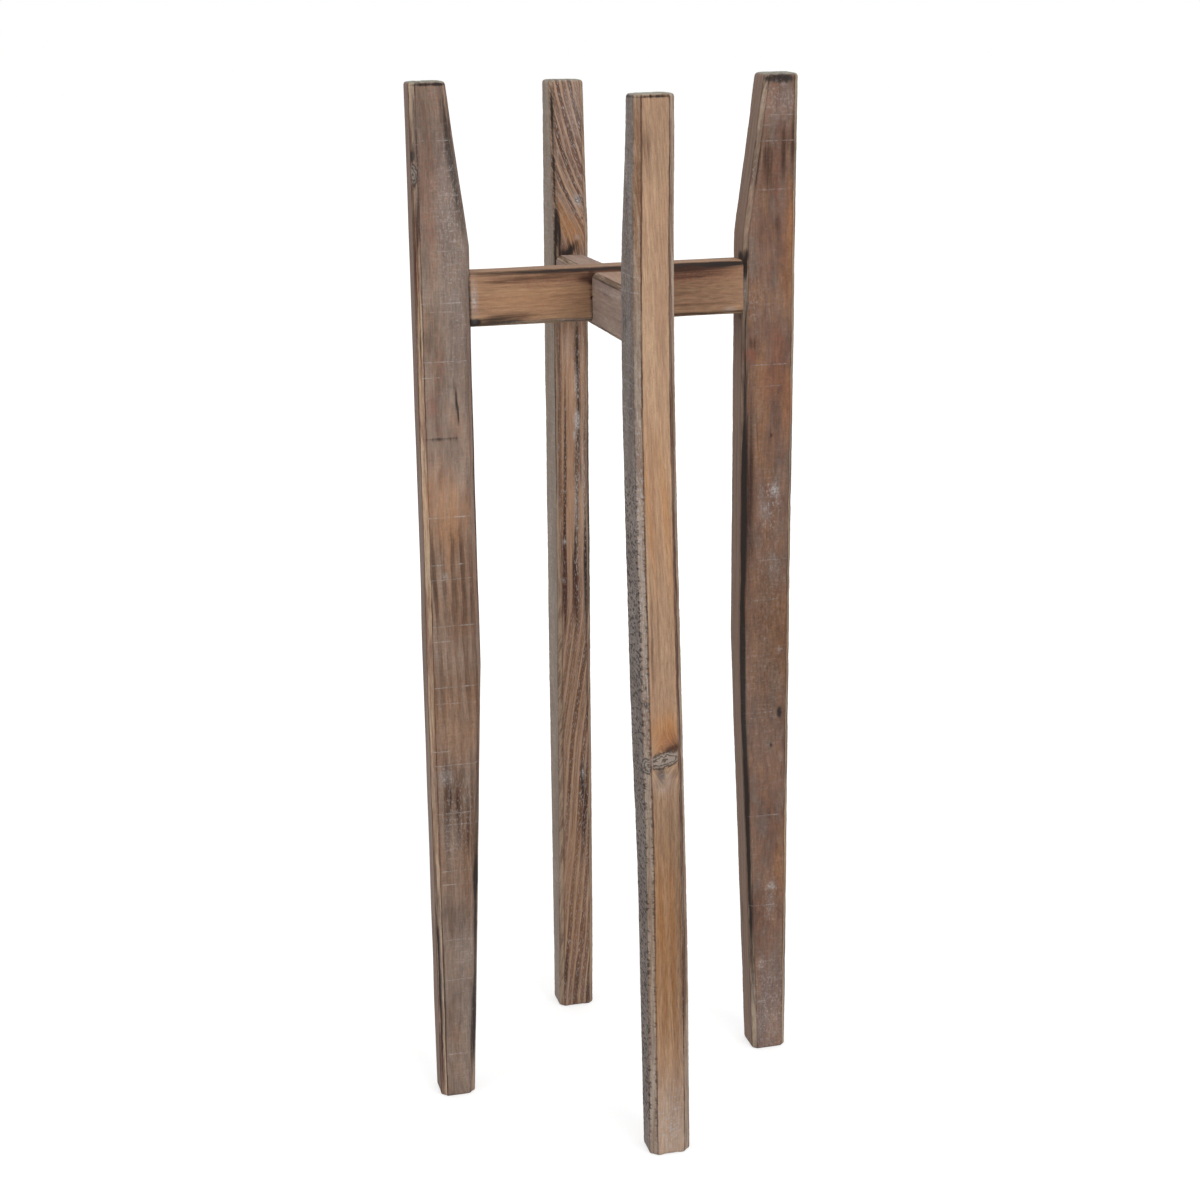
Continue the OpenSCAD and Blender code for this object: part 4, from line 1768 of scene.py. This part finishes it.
def through_looks() -> Looks:
    """Gives the through rail's looks: planed orange-tan, burnt along its top and its lower left end,
    with painted shade where it meets the left leg and the cross rail.

    Returns:
        The looks.
    """
    side, top = Side.PLUS, Side.OUTER
    marks = (
        *laid(Stain.SHADE, side,
              (150, 18, 52, 22, 0.75), (80, 18, 14, 22, 0.15), (45, 18, 26, 22, -0.18),
              (10, 20, 10, 18, 0.2)),
        *laid(Stain.WARM, side, (45, 18, 40, 8, 0.25)),
        *laid(Stain.RUST, side,
              (155, 29, 44, 6, 0.35), (150, 18, 52, 22, 0.15), (110, 31, 100, 5, 0.4)),
        *laid(Stain.EDGE, side, (100, 38, 220, 9, -0.8)),
        *laid(Stain.BROWN, side,
              (160, 35.6, 60, 3.0, 0.6), (160, 8, 40, 1.4, 0.5), (155, 31, 44, 5, 0.55),
              # (88, 18, 2.5, 18) is painted shadow down the face beside the cross rail, where the two
              # rails cross
              (150, 1.2, 55, 0.8, 0.6), (100, 37.0, 110, 2.2, 0.5), (88, 18, 2.5, 18, 0.5),
              (87, 30, 10, 4, 0.5), (75, 33, 34, 3.6, 0.45), (32, 6.5, 20, 3.6, 0.5),
              (30, 32.0, 24, 3.0, 0.5)),
        *laid(Stain.CHAR, side,
              (186, 36.0, 16, 2, 0.8), (160, 36.8, 60, 2.0, 0.5), (60, 37.0, 70, 1.3, 0.65),
              # (0.5, 19, 1.0, 19) is a line of painted shade in the joint where the rail's end meets the
              # left leg
              (22, 4.0, 18, 3.4, 0.65), (3, 3, 4, 3, 1.0), (0.5, 19, 1.0, 19, 0.7)),
        *laid(Stain.WASH, side, (190, 4, 5, 2, 0.8), (60, 2.0, 40, 0.9, 0.6), (3.2, 20, 2.6, 14, 0.9)),
        *laid(Stain.SHADE, top, (100, 0, 110, 14, 0.6)),
        *laid(Stain.WARM, top, (100, 0, 110, 14, 0.25)),
        *laid(Stain.CHAR, top, (188, -7, 10, 5, 0.7)),
        *laid(Stain.WASH, top, (100, 0, 110, 14, 0.45)),
        *laid(Stain.WARM, Side.MINUS, (120, 20, 50, 10, 0.4)),
        *laid(Stain.BROWN, Side.MINUS, (100, 3, 80, 1.4, 0.6)),
        *laid(Stain.CHAR, Side.MINUS, (192, 8, 10, 6, 0.6), (30, 36.5, 34, 2.0, 0.8)),
    )
    return Looks(THROUGH_FINISH, 500, Grain((-60, 0)), 2.75, marks)


def cross_looks() -> Looks:
    """Gives the cross rail's looks: greyish brown, with burnt lines beside its pale top bevel.

    Returns:
        The looks.
    """
    side = Side.MINUS
    marks = (
        *laid(Stain.CHAR, side,
              (60, 2.5, 50, 1.0, 0.6), (50, 24, 45, 1.0, 0.25), (45, 28.5, 45, 0.8, 0.3),
              (40, 35.5, 45, 0.8, 0.7)),
        *laid(Stain.WASH, side, (45, 31, 45, 3, 0.4)),
        *laid(Stain.WARM, Side.OUTER, (60, 0, 60, 14, 0.25)),
        *laid(Stain.BROWN, Side.PLUS, (60, 24, 60, 1.2, 0.4)),
        *laid(Stain.CHAR, Side.PLUS, (150, 36, 40, 1.6, 0.7)),
        *laid(Stain.WASH, Side.PLUS, (110, 18, 50, 8, 0.4)),
    )
    return Looks(CROSS_FINISH, 600, Grain((-60, 20)), 2.75, marks)


# ---------------------------------------------------------------- the stand


@dataclass(frozen=True)
class LegSizes:
    """The sizes that the four legs share."""

    width: float = 39.5
    foot_width: float = 25.5
    top_width: float = 25.5
    thickness: float = 27.5
    top_taper: float = 112.0
    knee_gap: float = 305.0
    foot_round: float = 0.9
    top_round: float = 2.0
    top_steps: int = 3


@dataclass(frozen=True)
class RailSizes:
    """The sizes that the two rails share."""

    length: float = 200.0
    height: float = 38.5
    thickness: float = 24.0
    clearance: float = 0.3
    sink: float = 0.3


@dataclass
class PlantStand:
    """The stand: its two pairs of legs, each on its rail. Each leg leans a little, in degrees."""

    SIDE_FRAME = "left_right_frame"
    DEPTH_FRAME = "front_back_frame"

    groups: WoodGroups
    leg: LegSizes = LegSizes()
    rail: RailSizes = RailSizes()
    left_lean: float = -0.25
    right_lean: float = 1.1
    front_lean: float = 0.6
    back_lean: float = 0.4
    through_bottom: float = field(init=False)
    cross_bottom: float = field(init=False)

    def __post_init__(self) -> None:
        """Reads the levels of the rails from the frame."""
        self.through_bottom, self.cross_bottom = (
            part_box(node)[0].z / MM for node in ("through_rail", "cross_rail"))

    def make_leg(self, name: str, body: str, looks: Looks, turn: float, lean: float,
                 bottom: float) -> bpy.types.Object:
        """Makes one leg.

        Args:
            name: The node that it replaces.
            body: The body that it rides on.
            looks: What makes it look unlike the others.
            turn: Degrees about Z from the +X side.
            lean: Degrees of lean about the middle of its rail.
            bottom: The bottom of its rail.

        Returns:
            The piece.
        """
        size = self.leg
        foot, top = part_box(name)
        length = (top.z - foot.z) / MM
        upper = length - size.top_taper
        leg = Leg(name, body, looks, length, size.width, size.thickness,
                  knees=(upper - size.knee_gap, upper), foot_width=size.foot_width,
                  top_width=size.top_width, foot_round=size.foot_round, end_round=size.top_round,
                  end_steps=size.top_steps,
                  turn=turn, lean=lean, pivot=bottom + self.rail.height / 2, reach=self.rail.length / 2)
        return leg.make(self.groups)

    def left_leg(self) -> bpy.types.Object:
        """Makes the left leg."""
        return self.make_leg("leg_left", self.SIDE_FRAME, left_looks(), 180, self.left_lean,
                             self.through_bottom)

    def right_leg(self) -> bpy.types.Object:
        """Makes the right leg."""
        return self.make_leg("leg_right", self.SIDE_FRAME, right_looks(), 0, self.right_lean,
                             self.through_bottom)

    def front_leg(self) -> bpy.types.Object:
        """Makes the front leg."""
        return self.make_leg("leg_front", self.DEPTH_FRAME, front_looks(), 270, self.front_lean,
                             self.cross_bottom)

    def back_leg(self) -> bpy.types.Object:
        """Makes the back leg."""
        return self.make_leg("leg_back", self.DEPTH_FRAME, back_looks(), 90, self.back_lean,
                             self.cross_bottom)

    def make_rail(self, name: str, body: str, looks: Looks, turn: float, bottom: float,
                  lap_below: bool) -> bpy.types.Object:
        """Makes one rail.

        Args:
            name: The node that it replaces.
            body: The body that it rides on.
            looks: What makes it look unlike the other.
            turn: Degrees about Z from lying along X.
            bottom: The height of its bottom.
            lap_below: Whether its notch opens downward.

        Returns:
            The piece.
        """
        size = self.rail
        lap_level = (self.through_bottom + self.cross_bottom + size.height) / 2
        length = size.length + 2 * size.sink
        rail = Rail(name, body, looks, length, size.height, size.thickness, turn=turn,
                    bottom=bottom, lap=lap_level - bottom, lap_half=size.thickness / 2 + size.clearance,
                    lap_below=lap_below)
        return rail.make(self.groups)

    def through_rail(self) -> bpy.types.Object:
        """Makes the rail between the left and right legs."""
        return self.make_rail("through_rail", self.SIDE_FRAME, through_looks(), 0, self.through_bottom,
                              True)

    def cross_rail(self) -> bpy.types.Object:
        """Makes the rail between the front and back legs."""
        return self.make_rail("cross_rail", self.DEPTH_FRAME, cross_looks(), 90, self.cross_bottom,
                              False)


@dataclass(frozen=True)
class Dowels:
    """The eight beech dowels inside the joints, which keep their modelled shape."""

    pale: str = "#d3b58c"
    dark: str = "#a9875f"

    def dress(self) -> None:
        """Gives every dowel its material."""
        material = self.beech()
        for name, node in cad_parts.items():
            if name.startswith("dowel"):
                node.data.materials.clear()
                node.data.materials.append(material)
                LOG.info("%s: finished", name)

    def beech(self) -> bpy.types.Material:
        """Builds pale beech with short dark flecks.

        Returns:
            The material.
        """
        material = bpy.data.materials.new("Beech dowel")
        material.use_nodes = True
        sheet = Sheet(material.node_tree)
        shader = material.node_tree.nodes["Principled BSDF"]
        where = sheet.place("ShaderNodeTexCoord").outputs["Object"]
        fleck = sheet.noise(where, (900.0, 900.0, 2600.0), 3.0)
        colour = sheet.blend(sheet.span(fleck, 0.4, 0.7), srgb(self.pale), srgb(self.dark))
        sheet.feed(shader.inputs["Base Color"], colour)
        sheet.feed(shader.inputs["Roughness"], sheet.span(fleck, 0.3, 0.7, 0.55, 0.7))
        bump = sheet.place("ShaderNodeBump")
        sheet.feed(bump.inputs["Strength"], 0.3)
        sheet.feed(bump.inputs["Distance"], 0.0002)
        sheet.feed(bump.inputs["Height"], fleck)
        sheet.feed(shader.inputs["Normal"], bump.outputs[0])
        return material


# ---------------------------------------------------------------- the studio


@dataclass(frozen=True)
class Viewpoint:
    """Where the camera stands and how it looks at the stand."""

    focal: float = 2158.9
    picture: float = 1200.0
    sensor: float = 36.0
    yaw: float = 14.0
    pitch: float = 15.73
    roll: float = -0.87
    distance: float = 1.6018
    target: tuple[float, float, float] = (-0.0068, 0.0, 0.3845)

    def make(self) -> bpy.types.Object:
        """Makes the camera and hands it to the scene.

        Returns:
            The camera.
        """
        camera = bpy.data.cameras.new("Camera")
        camera.sensor_width = self.sensor
        camera.lens = self.focal / self.picture * self.sensor
        piece = bpy.data.objects.new("Camera", camera)
        bpy.context.scene.collection.objects.link(piece)
        yaw, pitch = radians(self.yaw), radians(self.pitch)
        ahead = Vector((np.sin(yaw) * np.cos(pitch), np.cos(yaw) * np.cos(pitch), -np.sin(pitch)))
        right = ahead.cross(Vector((0, 0, 1))).normalized()
        right.rotate(Matrix.Rotation(radians(-self.roll), 3, ahead))
        up = right.cross(ahead)
        turn = Matrix((right, up, -ahead)).transposed()
        place = Vector(self.target) - ahead * self.distance
        piece.matrix_world = Matrix.Translation(place) @ turn.to_4x4()
        bpy.context.scene.camera = piece
        return piece


@dataclass(frozen=True)
class Lamp:
    """A soft box."""

    name: str
    place: tuple[float, float, float]
    size: float
    power: float
    aim: tuple[float, float, float] = (0.0, 0.0, 0.4)

    def make(self) -> None:
        """Hangs the lamp and aims it."""
        light = bpy.data.lights.new(self.name, "AREA")
        light.size = self.size
        light.energy = self.power
        piece = bpy.data.objects.new(self.name, light)
        bpy.context.scene.collection.objects.link(piece)
        facing = (Vector(self.aim) - Vector(self.place)).to_track_quat("-Z", "Y").to_matrix().to_4x4()
        piece.matrix_world = Matrix.Translation(self.place) @ facing


@dataclass(frozen=True)
class Studio:
    """A white floor, a white surround and soft light."""

    floor_size: float = 30.0
    floor_grey: float = 0.5
    floor_glow: tuple[float, float] = (0.62, 0.8)
    glow_reach: tuple[float, float] = (0.35, 1.6)
    ambient: float = 0.62
    lamps: tuple[Lamp, ...] = (
        Lamp("Front box", (0.9, -2.6, 1.7), 1.8, 42.0),
        Lamp("Left box", (-2.4, -1.0, 1.2), 1.6, 14.0),
        Lamp("Top box", (0.2, 0.3, 2.6), 1.6, 12.0),
    )

    def make(self) -> None:
        """Lays the floor, lights the world and hangs the lamps."""
        self.lay_floor()
        self.light_world()
        for lamp in self.lamps:
            lamp.make()

    def seen(self, sheet: Sheet) -> bpy.types.NodeSocket:
        """Tells which rays see the background: those of the camera, of gloss and of glass.

        Args:
            sheet: The sheet that the nodes go on.

        Returns:
            1 for such a ray, otherwise 0.
        """
        path = sheet.place("ShaderNodeLightPath").outputs
        gloss = sheet.math("MAXIMUM", path["Is Glossy Ray"], path["Is Transmission Ray"])
        return sheet.math("MAXIMUM", path["Is Camera Ray"], gloss)

    def lay_floor(self) -> None:
        """Lays a floor that looks white and keeps the stand's shadow."""
        bm = bmesh.new()
        bmesh.ops.create_grid(bm, x_segments=1, y_segments=1, size=self.floor_size / 2)
        mesh = bpy.data.meshes.new("floor")
        bm.to_mesh(mesh)
        bm.free()
        floor = bpy.data.objects.new("floor", mesh)
        bpy.context.scene.collection.objects.link(floor)
        material = bpy.data.materials.new("White floor")
        material.use_nodes = True
        tree = material.node_tree
        tree.nodes.clear()
        sheet = Sheet(tree)
        matt = sheet.place("ShaderNodeBsdfDiffuse")
        matt.inputs["Color"].default_value = (self.floor_grey, self.floor_grey, self.floor_grey, 1)
        away = sheet.place("ShaderNodeVectorMath", operation="LENGTH")
        sheet.feed(away.inputs[0], sheet.place("ShaderNodeTexCoord").outputs["Object"])
        strength = sheet.span(away.outputs["Value"], *self.glow_reach, *self.floor_glow)
        glow = sheet.place("ShaderNodeEmission")
        sheet.feed(glow.inputs["Strength"], sheet.times(self.seen(sheet), strength))
        both = sheet.place("ShaderNodeAddShader")
        target = sheet.place("ShaderNodeOutputMaterial")
        tree.links.new(matt.outputs[0], both.inputs[0])
        tree.links.new(glow.outputs[0], both.inputs[1])
        tree.links.new(both.outputs[0], target.inputs["Surface"])
        mesh.materials.append(material)

    def light_world(self) -> None:
        """Makes the surround white to look at and plain as a light."""
        world = bpy.data.worlds.new("Surround")
        bpy.context.scene.world = world
        world.use_nodes = True
        sheet = Sheet(world.node_tree)
        background = world.node_tree.nodes["Background"]
        sheet.feed(background.inputs["Color"], (1, 1, 1, 1))
        strength = sheet.span(self.seen(sheet), 0.0, 1.0, self.ambient, 1.0)
        sheet.feed(background.inputs["Strength"], strength)


def main() -> None:
    """Builds the camera, the studio and the stand."""
    logging.basicConfig(level=logging.INFO, format="%(message)s")
    bpy.context.scene.view_settings.view_transform = "Standard"
    Viewpoint().make()
    Studio().make()
    stand = PlantStand(WoodGroups())
    for make in (stand.left_leg, stand.right_leg, stand.front_leg, stand.back_leg,
                 stand.through_rail, stand.cross_rail):
        make()
    Dowels().dress()


if __name__ == "__main__":
    main()
